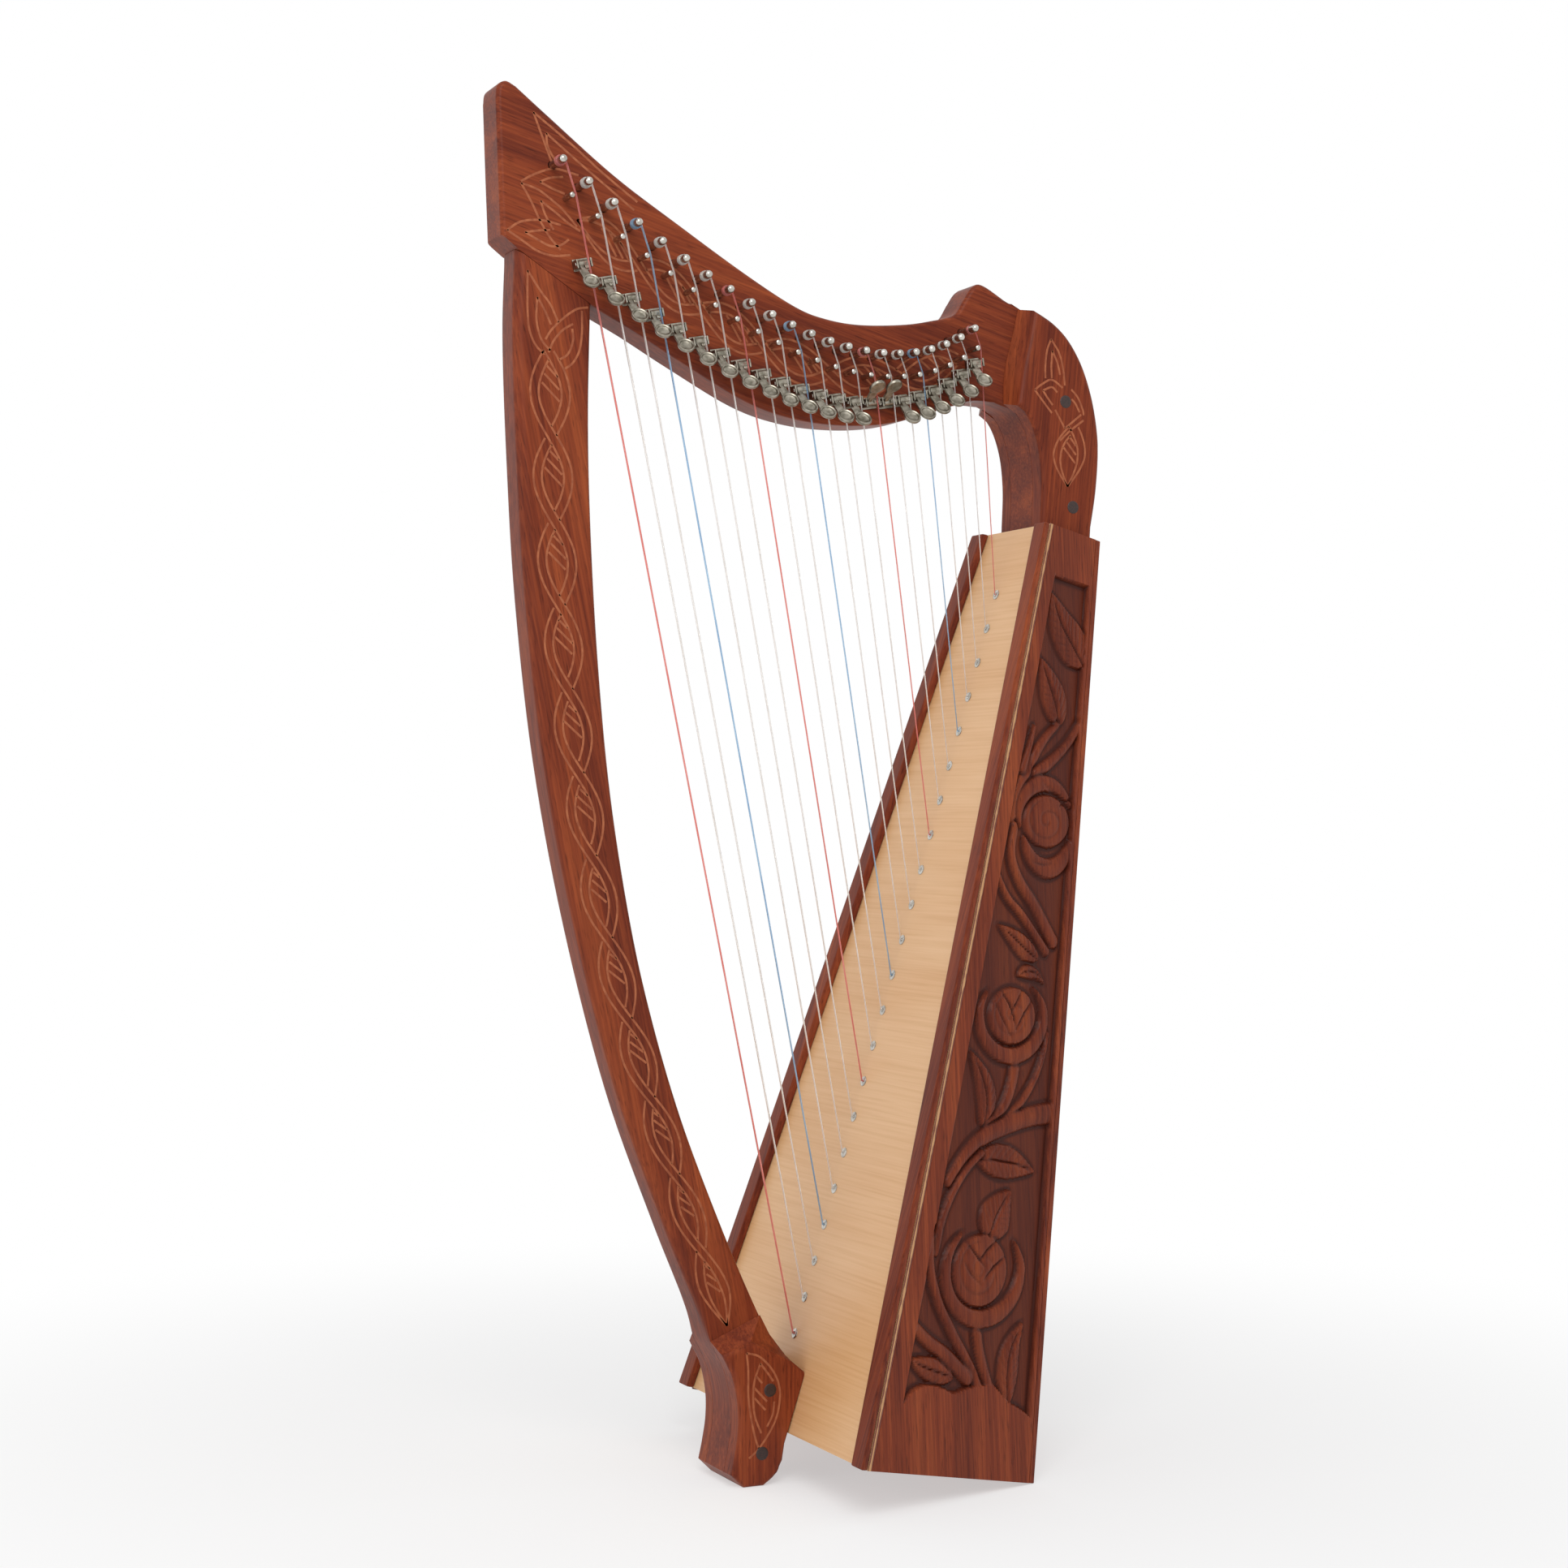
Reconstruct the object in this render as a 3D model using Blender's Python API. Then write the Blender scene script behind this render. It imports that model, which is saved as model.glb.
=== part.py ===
"""Travel harp with 22 strings and a sharping lever on every string.

The frame: +Z up, x runs from the pillar to the back of the sound box, the strings are on the -y side
of the neck, and the harp's middle plane is y = 0. The origin is on the floor at the middle of the box.
"""
import math

import bmesh
import bpy
from mathutils import Matrix, Vector

MM = 0.001

# clearances
SEAT_GAP = 0.3 * MM
PIN_HOLE_CLEARANCE = 0.3 * MM
AXLE_CLEARANCE = 0.3 * MM

# how round things are drawn
PIN_SIDES = 8
EYELET_SIDES = 8
STRING_HOLE_SIDES = 6
AXLE_SIDES = 6
HUB_SIDES = 8
HANDLE_SIDES = 12
DISH_SIDES = 8
SOUND_HOLE_SIDES = 20
PLUG_SIDES = 12
SMOOTH_ANGLE = math.radians(40.0)
SHALLOW_BEND = 0.6
STOCK_HALF_SIZE = 1.0

# sound box
BOARD_FOOT_X = -28.5 * MM
BOARD_LEAN = math.radians(17.23)
BACK_FOOT_X = 113.3 * MM
BACK_LEAN = math.radians(8.27)
BASE_SLOPE = math.radians(12.76)
TOP_SLOPE = math.radians(10.1)
BOX_BASE_FRONT_Z = 30.0 * MM
HALF_WIDTH_BASE_FRONT = 130.0 * MM
HALF_WIDTH_TOP_FRONT = 45.0 * MM
HALF_WIDTH_BASE_BACK = 90.0 * MM
BOARD_THICKNESS = 3.0 * MM
TRIM_THICKNESS = 4.5 * MM
TRIM_WIDTH = 13.0 * MM
SIDE_THICKNESS = 10.0 * MM
BACK_THICKNESS = 4.0 * MM
BASE_THICKNESS = 16.0 * MM
TOP_BLOCK_HEIGHT = 25.0 * MM
CARVED_FIELD_DEPTH = 3.0 * MM
CARVED_FIELD_FRONT_BORDER = 12.0 * MM
CARVED_FIELD_BACK_BORDER = 9.0 * MM
CARVED_FIELD_TOP_BORDER = 32.0 * MM
CARVED_FIELD_BASE_BORDER = 44.0 * MM
SOUND_HOLE_HEIGHTS = (150.0 * MM, 290.0 * MM, 420.0 * MM)
SOUND_HOLE_HALF_WIDTHS = (40.0 * MM, 31.0 * MM, 22.0 * MM)
SOUND_HOLE_HALF_LENGTH = 44.0 * MM

# planks and cheeks
PLANK_THICKNESS = 27.0 * MM
CHEEK_THICKNESS = 13.0 * MM
NECK_ROUNDING = 3.0 * MM
PILLAR_ROUNDING = 6.0 * MM
CHEEK_ROUNDING = 3.0 * MM
PLUG_RADIUS = 4.0 * MM
PLUG_HEIGHT = 0.4 * MM
PLUG_DEPTH = 1.0 * MM

# strings
STRING_COUNT = 22
FIRST_EYELET_Z = 84.0 * MM
EYELET_PITCH = 22.76 * MM
EYELET_TOP_BORDER = 41.5 * MM
BOX_TOP_Z = (FIRST_EYELET_Z + (STRING_COUNT - 1) * EYELET_PITCH * math.cos(BOARD_LEAN)
             + EYELET_TOP_BORDER)
STRING_LENGTHS = (693.0 * MM, 470.0 * MM, 286.0 * MM, 153.0 * MM)
STRING_TILT_BASS = math.radians(12.7)
STRING_TILT_TREBLE = math.radians(9.5)
STRING_RADIUS_BASS = 0.60 * MM
STRING_RADIUS_TREBLE = 0.35 * MM
STRING_STAND_OFF = 11.0 * MM
STRING_SIDES = 6
EYELET_RADIUS = 3.2 * MM
EYELET_HEIGHT = 0.8 * MM
STRING_HOLE_RADIUS = 1.5 * MM
RIB_WIDTH = 15.0 * MM
RIB_THICKNESS = 6.0 * MM

# pins
BRIDGE_PIN_RADIUS = 1.7 * MM
BRIDGE_PIN_LENGTH = 12.6 * MM
PIN_DEPTH = 2.0 * MM
TUNING_TILT_BASS = math.radians(18.5)
TUNING_TILT_TREBLE = math.radians(22.0)
TUNING_DISTANCE_BASS = 20.5 * MM
TUNING_DISTANCE_TREBLE = 12.5 * MM
TUNING_PIN_RADIUS = 2.4 * MM
TUNING_PIN_REACH = 20.0 * MM
PIN_TIP_RADIUS = 1.7 * MM
PIN_TIP_BEVEL = 0.8 * MM
KEY_END_START = 0.8 * MM
KEY_END_LENGTH = 14.0 * MM
KEY_END_SIDE = 3.4 * MM
WINDING_TURNS = 1.5
WINDING_STEPS = 8
WINDING_SIDES = 5
WINDING_GAP = 0.5 * MM
WINDING_SINK = 0.3 * MM
PIN_TWIST = math.radians(7.0)

# sharping levers
SEMITONE_SHARE = 1.0 - 2.0 ** (-1.0 / 12.0)
PIVOT_STAND_OFF = 5.2 * MM
LEVER_DROPPED = math.radians(50.0)
LEVER_RAISED = math.radians(30.0)
RAISED_LEVERS = (15, 16)
AXLE_RADIUS = 0.8 * MM
HUB_RADIUS = 2.1 * MM
HUB_BASS_SIDE = 5.2 * MM
HUB_TREBLE_SIDE = 1.8 * MM
CAM_REACH = 3.4 * MM
CAM_WIDTH = 3.0 * MM
ARM_WIDTH = 2.6 * MM
ARM_THICKNESS = 1.8 * MM
HANDLE_OFFSET = 3.3 * MM
HANDLE_INNER_REACH = 10.0 * MM
HANDLE_LENGTH = 11.0 * MM
HANDLE_WIDTH = 10.4 * MM
HANDLE_THICKNESS = 2.4 * MM
HANDLE_DISH_DEPTH = 1.3 * MM
HANDLE_RIM = 1.4 * MM
EAR_THICKNESS = 1.2 * MM
EAR_REACH = 7.6 * MM
EAR_HALF_HEIGHT = 2.8 * MM
EAR_TAPER = 0.7
EAR_SET_IN = 0.05 * MM
BRACKET_PLATE_THICKNESS = 1.2 * MM
BRACKET_HALF_HEIGHT = 3.6 * MM

# outlines in the middle plane, as x and z in millimetres, each drawn through with a smooth curve; those of
# the neck and the shoulder are drawn round these bends of the first and the last string, and follow them
DRAWN_BENDS = [(-154.803, 760.045), (113.874, 691.412)]
HEAD_FRONT = [(-196.2, 735.4), (-197.6, 770.0), (-199.2, 815.0)]
HEAD_TOP = [(-199.2, 815.0), (-198.1, 821.6), (-193.2, 824.6), (-187.2, 822.2)]
NECK_TOP = [(-187.2, 822.2), (-166.0, 806.2), (-125.5, 776.4), (-84.0, 751.2), (-41.6, 726.5),
            (-8.2, 709.4), (12.7, 703.5), (36.8, 701.7), (68.8, 704.5), (92.8, 709.6)]
NECK_BUMP = [(92.8, 709.6), (102.8, 713.6), (108.8, 722.6), (115.3, 731.6), (122.8, 733.0), (140.8, 723.5)]
SHOULDER_BACK = [(140.8, 723.5), (153.8, 717.0), (166.8, 710.0), (177.8, 700.0), (187.3, 685.0),
                 (194.3, 666.0), (198.3, 646.0), (199.2, 629.0), (197.3, 605.0), (193.1, 580.0)]
KNEE_FRONT = [(156.8, 583.0), (157.6, 612.0), (154.2, 636.0), (145.3, 654.0), (130.8, 660.3)]
NECK_LOW = [(130.8, 660.3), (113.8, 659.9), (91.5, 652.8), (56.8, 642.4), (23.8, 639.0), (-9.2, 641.0),
            (-41.2, 649.5), (-83.5, 670.3), (-113.2, 686.0), (-140.3, 698.9)]
CHEEK_LINE = [(146.8, 719.5), (142.0, 699.5), (137.8, 684.0), (136.1, 670.0), (136.3, 659.2)]
CHEEK_LINE_OUTER = [(153.3, 717.2), (150.3, 699.0), (146.8, 684.0), (143.6, 668.0), (141.0, 657.0)]
PILLAR_OUTER = [(-186.8, 728.3), (-188.1, 680.0), (-185.8, 612.0), (-180.5, 526.8), (-169.2, 431.5),
                (-150.3, 335.5), (-124.0, 238.0), (-94.2, 158.9), (-73.0, 108.5), (-65.1, 86.6)]
PILLAR_INNER = [(-140.3, 698.9), (-141.5, 630.0), (-139.8, 564.0), (-135.2, 488.0), (-127.5, 412.0),
                (-114.7, 336.0), (-100.7, 278.0), (-82.4, 219.7), (-58.7, 160.0), (-32.5, 100.0)]
FOOT_FRONT = [(-65.1, 86.6), (-56.1, 68.0), (-52.0, 50.0), (-51.7, 34.0), (-53.8, 20.0), (-56.4, 8.0)]
FOOT_SOLE = [(-56.4, 8.0), (-48.2, 0.0), (-35.2, 0.0)]
FOOT_HEEL = [(-35.2, 0.0), (-27.7, 5.5), (-22.7, 14.0)]
FOOT_HEEL_Z = 24.0 * MM
FOOT_TOP_Z = 66.0 * MM
FOOT_BACK = [(-15.7, 74.5), (-26.2, 88.0), (-32.5, 100.0)]
FOOT_CHAMFER_FRONT = (-61.8, 78.8)
FOOT_CHAMFER_BACK = [(-15.7, 71.4), (-27.2, 75.7), (-46.0, 82.6)]
FOOT_PLUGS = [(-31.6, 57.0), (-36.9, 19.7)]
SHOULDER_PLUGS = [(174.1, 661.5), (179.5, 595.2)]

# finishes, as colour, roughness and metallic
WOOD = (0.19, 0.052, 0.026), 0.45, 0.0
BIRCH = (0.68, 0.42, 0.20), 0.5, 0.0
METAL = (0.48, 0.46, 0.42), 0.3, 1.0


def clear_scene():
    for thing in list(bpy.data.objects):
        bpy.data.objects.remove(thing, do_unlink=True)


def material(name, finish):
    colour, roughness, metallic = finish
    made = bpy.data.materials.new(name)
    made.use_nodes = True
    shader = made.node_tree.nodes["Principled BSDF"]
    shader.inputs["Base Color"].default_value = (*colour, 1.0)
    shader.inputs["Roughness"].default_value = roughness
    shader.inputs["Metallic"].default_value = metallic
    return made


def between(bass, treble, index):
    """a size that runs evenly from the first string to the last"""
    return bass + (treble - bass) * index / (STRING_COUNT - 1)


def smooth(points, steps):
    """points in metres on a Catmull-Rom curve through the outline's points in millimetres"""
    through = [Vector((x * MM, z * MM)) for x, z in points]
    before = through[0] * 2 - through[1]
    after = through[-1] * 2 - through[-2]
    line = [before, *through, after]
    curve = []
    for i in range(1, len(line) - 2):
        p0, p1, p2, p3 = line[i - 1:i + 3]
        for step in range(steps):
            t = step / steps
            curve.append(0.5 * (2 * p1 + (p2 - p0) * t + (2 * p0 - 5 * p1 + 4 * p2 - p3) * t * t
                                + (3 * p1 - p0 - 3 * p2 + p3) * t * t * t))
    curve.append(through[-1])
    return curve


def joined(*runs):
    """one closed outline from runs that share their end points"""
    outline = []
    for run in runs:
        for point in run:
            if not outline or (point - outline[-1]).length > 1e-6:
                outline.append(point)
    if (outline[0] - outline[-1]).length < 1e-6:
        outline.pop()
    return outline


def turned_left(outline):
    """the outline running so that its inside is on the left"""
    area = sum(a.x * b.y - b.x * a.y for a, b in zip(outline, outline[1:] + outline[:1]))
    return outline if area > 0 else outline[::-1]


def inset(outline, amounts):
    """the outline moved inwards, by an amount for the edge that starts at each point"""
    inner = []
    count = len(outline)
    for i in range(count):
        a, b, c = outline[i - 1], outline[i], outline[(i + 1) % count]
        first, second = (b - a).normalized(), (c - b).normalized()
        n1, n2 = Vector((-first.y, first.x)), Vector((-second.y, second.x))
        d1, d2 = amounts[i - 1], amounts[i]
        cross = first.x * second.y - first.y * second.x
        if d1 == d2 or abs(cross) < SHALLOW_BEND:
            inner.append(b + (n1 + n2) / (1 + n1.dot(n2)) * (d1 + d2) / 2)
            continue
        start, other = b + n1 * d1, b + n2 * d2
        along = ((other - start).x * second.y - (other - start).y * second.x) / cross
        inner.append(start + first * along)
    return inner


def node(name, bm, skin):
    bmesh.ops.recalc_face_normals(bm, faces=bm.faces)
    mesh = bpy.data.meshes.new(name)
    bm.to_mesh(mesh)
    bm.free()
    mesh.materials.append(skin)
    made = bpy.data.objects.new(name, mesh)
    bpy.context.collection.objects.link(made)
    return made


def smooth_shading(mesh):
    mesh.shade_smooth()
    mesh.set_sharp_from_angle(angle=SMOOTH_ANGLE)


def baked(name, source, skin):
    """a plain mesh from an object with its modifiers, which replaces it"""
    graph = bpy.context.evaluated_depsgraph_get()
    mesh = bpy.data.meshes.new_from_object(source.evaluated_get(graph))
    mesh.name = name
    bpy.data.objects.remove(source, do_unlink=True)
    mesh.materials.clear()
    mesh.materials.append(skin)
    made = bpy.data.objects.new(name, mesh)
    bpy.context.collection.objects.link(made)
    return made


def combine(target, tool, operation):
    """an exact Boolean of two objects, after which the tool is gone"""
    modifier = target.modifiers.new(operation.lower(), "BOOLEAN")
    modifier.operation = operation
    modifier.object = tool
    skin = target.data.materials[0]
    name = target.name
    target.name = name + "_before"
    made = baked(name, target, skin)
    bpy.data.objects.remove(tool, do_unlink=True)
    return made


def layered_plate(bm, layers):
    """a closed plate from outlines of equal length, each at its own y"""
    rings = [[bm.verts.new((p.x, y, p.y)) for p in outline] for y, outline in layers]
    count = len(rings[0])
    for low, high in zip(rings, rings[1:]):
        for i in range(count):
            j = (i + 1) % count
            bm.faces.new((low[i], low[j], high[j], high[i]))
    bm.faces.new(rings[0][::-1])
    bm.faces.new(rings[-1])


def rounded_plank(outline, amounts):
    """a plank with rounded edges, where the amounts are the rounding at each edge"""
    half = PLANK_THICKNESS / 2
    radius = max(amounts)
    share = 1 - math.sqrt(0.5)
    soft = [a * share for a in amounts]
    full = inset(outline, amounts)
    part = inset(outline, soft)
    layers = [(-half, full), (-half + radius * share, part), (-half + radius, outline),
              (half - radius, outline), (half - radius * share, part), (half, full)]
    bm = bmesh.new()
    layered_plate(bm, layers)
    return bm


def cylinder_between(bm, start, end, radius, sides):
    """a closed cylinder from point to point"""
    way = end - start
    turn = Vector((0, 0, 1)).rotation_difference(way).to_matrix().to_4x4()
    place = Matrix.Translation((start + end) / 2) @ turn
    bmesh.ops.create_cone(bm, cap_ends=True, segments=sides, radius1=radius, radius2=radius,
                          depth=way.length, matrix=place)


def block(bm, low, high, place=None):
    """a box from corner to corner"""
    size = Vector(high) - Vector(low)
    middle = (Vector(high) + Vector(low)) / 2
    matrix = Matrix.Translation(middle) @ Matrix.Diagonal((*size, 1.0))
    bmesh.ops.create_cube(bm, size=1.0, matrix=(place or Matrix()) @ matrix)


def tube(bm, points, radius, sides):
    """a closed round bar along points, with its rings mitred at the bends"""
    rings = []
    up = None
    for i, point in enumerate(points):
        before = (point - points[i - 1]).normalized() if i else (points[1] - point).normalized()
        after = (points[i + 1] - point).normalized() if i + 1 < len(points) else before
        way = (before + after).normalized()
        if up is None:
            up = way.orthogonal().normalized()
        up = (up - way * up.dot(way)).normalized()
        side = way.cross(up)
        stretch = 1.0 / max(0.5, math.sqrt((1 + before.dot(after)) / 2))
        ring = []
        for k in range(sides):
            angle = 2 * math.pi * (k + 0.5) / sides
            out = up * math.cos(angle) + side * math.sin(angle)
            ring.append(bm.verts.new(point + out * radius * stretch))
        rings.append(ring)
    for low, high in zip(rings, rings[1:]):
        for k in range(sides):
            m = (k + 1) % sides
            bm.faces.new((low[k], low[m], high[m], high[k]))
    bm.faces.new(rings[0][::-1])
    bm.faces.new(rings[-1])


# planes of the sound box, as a point on the plane and the way out of the box
def board_plane():
    return Vector((BOARD_FOOT_X, 0, 0)), Vector((-math.cos(BOARD_LEAN), 0, math.sin(BOARD_LEAN)))


def back_plane():
    return Vector((BACK_FOOT_X, 0, 0)), Vector((math.cos(BACK_LEAN), 0, -math.sin(BACK_LEAN)))


def base_plane():
    return Vector((BACK_FOOT_X, 0, 0)), Vector((-math.sin(BASE_SLOPE), 0, -math.cos(BASE_SLOPE)))


def top_plane():
    edge = board_point(BOX_TOP_Z)
    return edge, Vector((math.sin(TOP_SLOPE), 0, math.cos(TOP_SLOPE)))


def board_point(z):
    """the point of the board's front face at a height, in the middle plane"""
    return Vector((BOARD_FOOT_X + z * math.tan(BOARD_LEAN), 0, z))


def side_plane(side):
    low = board_point(BOX_BASE_FRONT_Z) + Vector((0, side * HALF_WIDTH_BASE_FRONT, 0))
    high = board_point(BOX_TOP_Z) + Vector((0, side * HALF_WIDTH_TOP_FRONT, 0))
    back = Vector((BACK_FOOT_X, side * HALF_WIDTH_BASE_BACK, 0))
    way = (high - low).cross(back - low).normalized()
    if way.y * side < 0:
        way = -way
    return low, way


def moved(plane, distance):
    return plane[0] + plane[1] * distance, plane[1]


def facing_in(plane, distance=0.0):
    point, way = moved(plane, distance)
    return point, -way


def cut_solid(planes):
    """the solid that is left of a large block inside all planes"""
    bm = bmesh.new()
    far = STOCK_HALF_SIZE
    block(bm, (-far, -far, -far), (far, far, far))
    for point, way in planes:
        everything = bm.verts[:] + bm.edges[:] + bm.faces[:]
        result = bmesh.ops.bisect_plane(bm, geom=everything, plane_co=point, plane_no=way, clear_outer=True)
        edges = [part for part in result["geom_cut"] if isinstance(part, bmesh.types.BMEdge)]
        bmesh.ops.contextual_create(bm, geom=edges)
    return bm


def inside_walls(extra):
    """a solid that fits between the board, the back and the two side panels"""
    front = moved(board_plane(), -BOARD_THICKNESS - SEAT_GAP)
    back = moved(back_plane(), -BACK_THICKNESS - SEAT_GAP)
    sides = [moved(side_plane(side), -SIDE_THICKNESS - SEAT_GAP) for side in (-1, 1)]
    return cut_solid([front, back, *sides, *extra])


def eyelet_point(index):
    return board_point(FIRST_EYELET_Z + index * EYELET_PITCH * math.cos(BOARD_LEAN))


def string_length(index):
    """a smooth cubic through the four named lengths, a third of the way apart"""
    t = 3.0 * index / (STRING_COUNT - 1)
    a, b, c, d = STRING_LENGTHS
    first, second, third = b - a, c - 2 * b + a, d - 3 * c + 3 * b - a
    return a + first * t + second * t * (t - 1) / 2 + third * t * (t - 1) * (t - 2) / 6


def string_radius(index):
    return between(STRING_RADIUS_BASS, STRING_RADIUS_TREBLE, index)


def string_frame(index):
    """the string's way up and the way across it to the treble side"""
    tilt = between(STRING_TILT_BASS, STRING_TILT_TREBLE, index)
    up = Vector((-math.sin(tilt), 0, math.cos(tilt)))
    across = Vector((math.cos(tilt), 0, math.sin(tilt)))
    return tilt, up, across


def string_y():
    return -(PLANK_THICKNESS / 2 + STRING_STAND_OFF)


def bend_point(index):
    """where the string bends at its bridge pin, at y = 0"""
    up = string_frame(index)[1]
    return eyelet_point(index) + up * string_length(index)


def bridge_point(index):
    across = string_frame(index)[2]
    return bend_point(index) - across * (BRIDGE_PIN_RADIUS + string_radius(index) + SEAT_GAP)


def winding_radius(index):
    """the centre line of the wound string, sunk a little into the pin"""
    return TUNING_PIN_RADIUS + string_radius(index) - WINDING_SINK


def top_frame(index):
    tilt = between(TUNING_TILT_BASS, TUNING_TILT_TREBLE, index)
    return Vector((-math.sin(tilt), 0, math.cos(tilt))), Vector((math.cos(tilt), 0, math.sin(tilt)))


def string_end(index):
    up = top_frame(index)[0]
    return bend_point(index) + up * between(TUNING_DISTANCE_BASS, TUNING_DISTANCE_TREBLE, index)


def tuning_point(index):
    across = top_frame(index)[1]
    reach = winding_radius(index) + 2 * string_radius(index) + SEAT_GAP
    return string_end(index) - across * reach


def pivot_point(index):
    """the lever's axle, a semitone below the bridge pin"""
    up = string_frame(index)[1]
    point = bend_point(index) - up * string_length(index) * SEMITONE_SHARE
    return Vector((point.x, -(PLANK_THICKNESS / 2 + PIVOT_STAND_OFF), point.z))


def lever_turn(index):
    """the lever's rest angle below the horizontal: the raised ones stand above it"""
    return -LEVER_RAISED if index + 1 in RAISED_LEVERS else LEVER_DROPPED


def lever_frame(index):
    """x across the string, z along it, so that -y points away from the neck"""
    up, across = string_frame(index)[1:]
    turn = Matrix((across, Vector((0, 1, 0)), up)).transposed().to_4x4()
    return Matrix.Translation(pivot_point(index)) @ turn


def make_sound_box(wood, birch):
    board, back, base, top = board_plane(), back_plane(), base_plane(), top_plane()
    sides = {"near": side_plane(-1), "far": side_plane(1)}
    between_sides = list(sides.values())
    for name, plane in sides.items():
        strip = cut_solid([moved(board, SEAT_GAP + TRIM_THICKNESS), facing_in(board, SEAT_GAP), plane,
                           facing_in(plane, -TRIM_WIDTH), top, base])
        node("edge_trim_" + name, strip, wood)
        make_side_panel(name, plane, wood)
    node("base_board", inside_walls([base, facing_in(base, -BASE_THICKNESS)]), wood)
    node("top_block", inside_walls([top, facing_in(top, -TOP_BLOCK_HEIGHT)]), wood)
    panel = cut_solid([back, facing_in(back, -BACK_THICKNESS), *between_sides, top, base])
    cut_sound_holes(node("back_panel", panel, wood))
    face = cut_solid([board, facing_in(board, -BOARD_THICKNESS), *between_sides, top, base])
    return fit_eyelets(node("soundboard", face, birch))


def make_side_panel(name, plane, wood):
    """a side panel with the sunk field that its carving stands in"""
    board, back, base, top = board_plane(), back_plane(), base_plane(), top_plane()
    front_limit = moved(board, -BOARD_THICKNESS - SEAT_GAP)
    back_limit = moved(back, -BACK_THICKNESS - SEAT_GAP)
    panel = cut_solid([front_limit, back_limit, plane, facing_in(plane, -SIDE_THICKNESS), top, base])
    field = cut_solid([moved(front_limit, -CARVED_FIELD_FRONT_BORDER),
                       moved(back_limit, -CARVED_FIELD_BACK_BORDER),
                       moved(plane, CARVED_FIELD_DEPTH), facing_in(plane, -CARVED_FIELD_DEPTH),
                       moved(top, -CARVED_FIELD_TOP_BORDER), moved(base, -CARVED_FIELD_BASE_BORDER)])
    combine(node("side_panel_" + name, panel, wood), node("field_cutter", field, wood), "DIFFERENCE")


def cut_sound_holes(panel):
    """oval holes in the back, through which a hand reaches the string knots"""
    point, way = back_plane()
    along = Vector((math.sin(BACK_LEAN), 0, math.cos(BACK_LEAN)))
    bm = bmesh.new()
    for height, half_width in zip(SOUND_HOLE_HEIGHTS, SOUND_HOLE_HALF_WIDTHS):
        middle = point + along * height
        frame = Matrix((Vector((0, 1, 0)), along, way)).transposed().to_4x4()
        size = Matrix.Diagonal((half_width, SOUND_HOLE_HALF_LENGTH, 1.0, 1.0))
        bmesh.ops.create_cone(bm, cap_ends=True, segments=SOUND_HOLE_SIDES, radius1=1.0, radius2=1.0,
                              depth=4 * BACK_THICKNESS, matrix=Matrix.Translation(middle) @ frame @ size)
    combine(panel, node("sound_hole_cutter", bm, panel.data.materials[0]), "DIFFERENCE")


def fit_eyelets(board):
    """a metal eyelet and a hole through the board for every string"""
    skin = board.data.materials[0]
    way = board_plane()[1]
    rings, holes = bmesh.new(), bmesh.new()
    for index in range(STRING_COUNT):
        face = eyelet_point(index)
        cylinder_between(rings, face - way * BOARD_THICKNESS / 2, face + way * EYELET_HEIGHT, EYELET_RADIUS,
                         EYELET_SIDES)
        cylinder_between(holes, face - way * 2 * BOARD_THICKNESS, face + way * 2 * EYELET_HEIGHT,
                         STRING_HOLE_RADIUS, STRING_HOLE_SIDES)
    board = combine(board, node("eyelet_rings", rings, skin), "UNION")
    return combine(board, node("string_holes", holes, skin), "DIFFERENCE")


def make_strings(wood):
    """the rib behind the board with the strings that come up through it"""
    board = board_plane()
    behind = -BOARD_THICKNESS - SEAT_GAP
    half = RIB_WIDTH / 2
    low = moved(base_plane(), -BASE_THICKNESS - SEAT_GAP)
    high = moved(top_plane(), -TOP_BLOCK_HEIGHT - SEAT_GAP)
    walls = [(Vector((0, side * half, 0)), Vector((0, side, 0))) for side in (-1, 1)]
    rib = node("strings_on_rib", cut_solid([moved(board, behind), facing_in(board, behind - RIB_THICKNESS),
                                            *walls, low, high]), wood)
    bm = bmesh.new()
    for index in range(STRING_COUNT):
        radius = string_radius(index)
        eyelet = eyelet_point(index)
        root = eyelet + board[1] * (behind - RIB_THICKNESS / 2)
        mouth = eyelet + board[1] * (EYELET_HEIGHT + radius)
        bend, end = bend_point(index), string_end(index)
        bend = Vector((bend.x, string_y(), bend.z))
        end = Vector((end.x, string_y(), end.z))
        tube(bm, [root, mouth, bend, end], radius, STRING_SIDES)
    combine(rib, node("string_tool", bm, wood), "UNION")


def follow_strings(points):
    """outline points in millimetres that move with the bends of the first and the last string"""
    drawn = [Vector(point) for point in DRAWN_BENDS]
    bends = [bend_point(index) / MM for index in (0, STRING_COUNT - 1)]
    shifts = [Vector((bend.x, bend.z)) - point for bend, point in zip(bends, drawn)]
    followed = []
    for x, z in points:
        share = min(1.0, max(0.0, (x - drawn[0].x) / (drawn[1].x - drawn[0].x)))
        shift = shifts[0].lerp(shifts[1], share)
        followed.append((x + shift.x, z + shift.y))
    return followed


def follow(points, steps):
    """a smooth curve through outline points that follow the strings"""
    return smooth(follow_strings(points), steps)


def cut_on_top(points):
    """the points moved up or down onto the seat above the sound box's top"""
    point, way = moved(top_plane(), SEAT_GAP)
    return [Vector((p.x, point.z - (p.x - point.x) * way.x / way.z)) for p in points]


def foot_back_points():
    """the foot's back, which lies on the soundboard"""
    seat = SEAT_GAP / math.cos(BOARD_LEAN)
    return [Vector((board_point(z).x - seat, z)) for z in (FOOT_HEEL_Z, FOOT_TOP_Z)]


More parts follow.
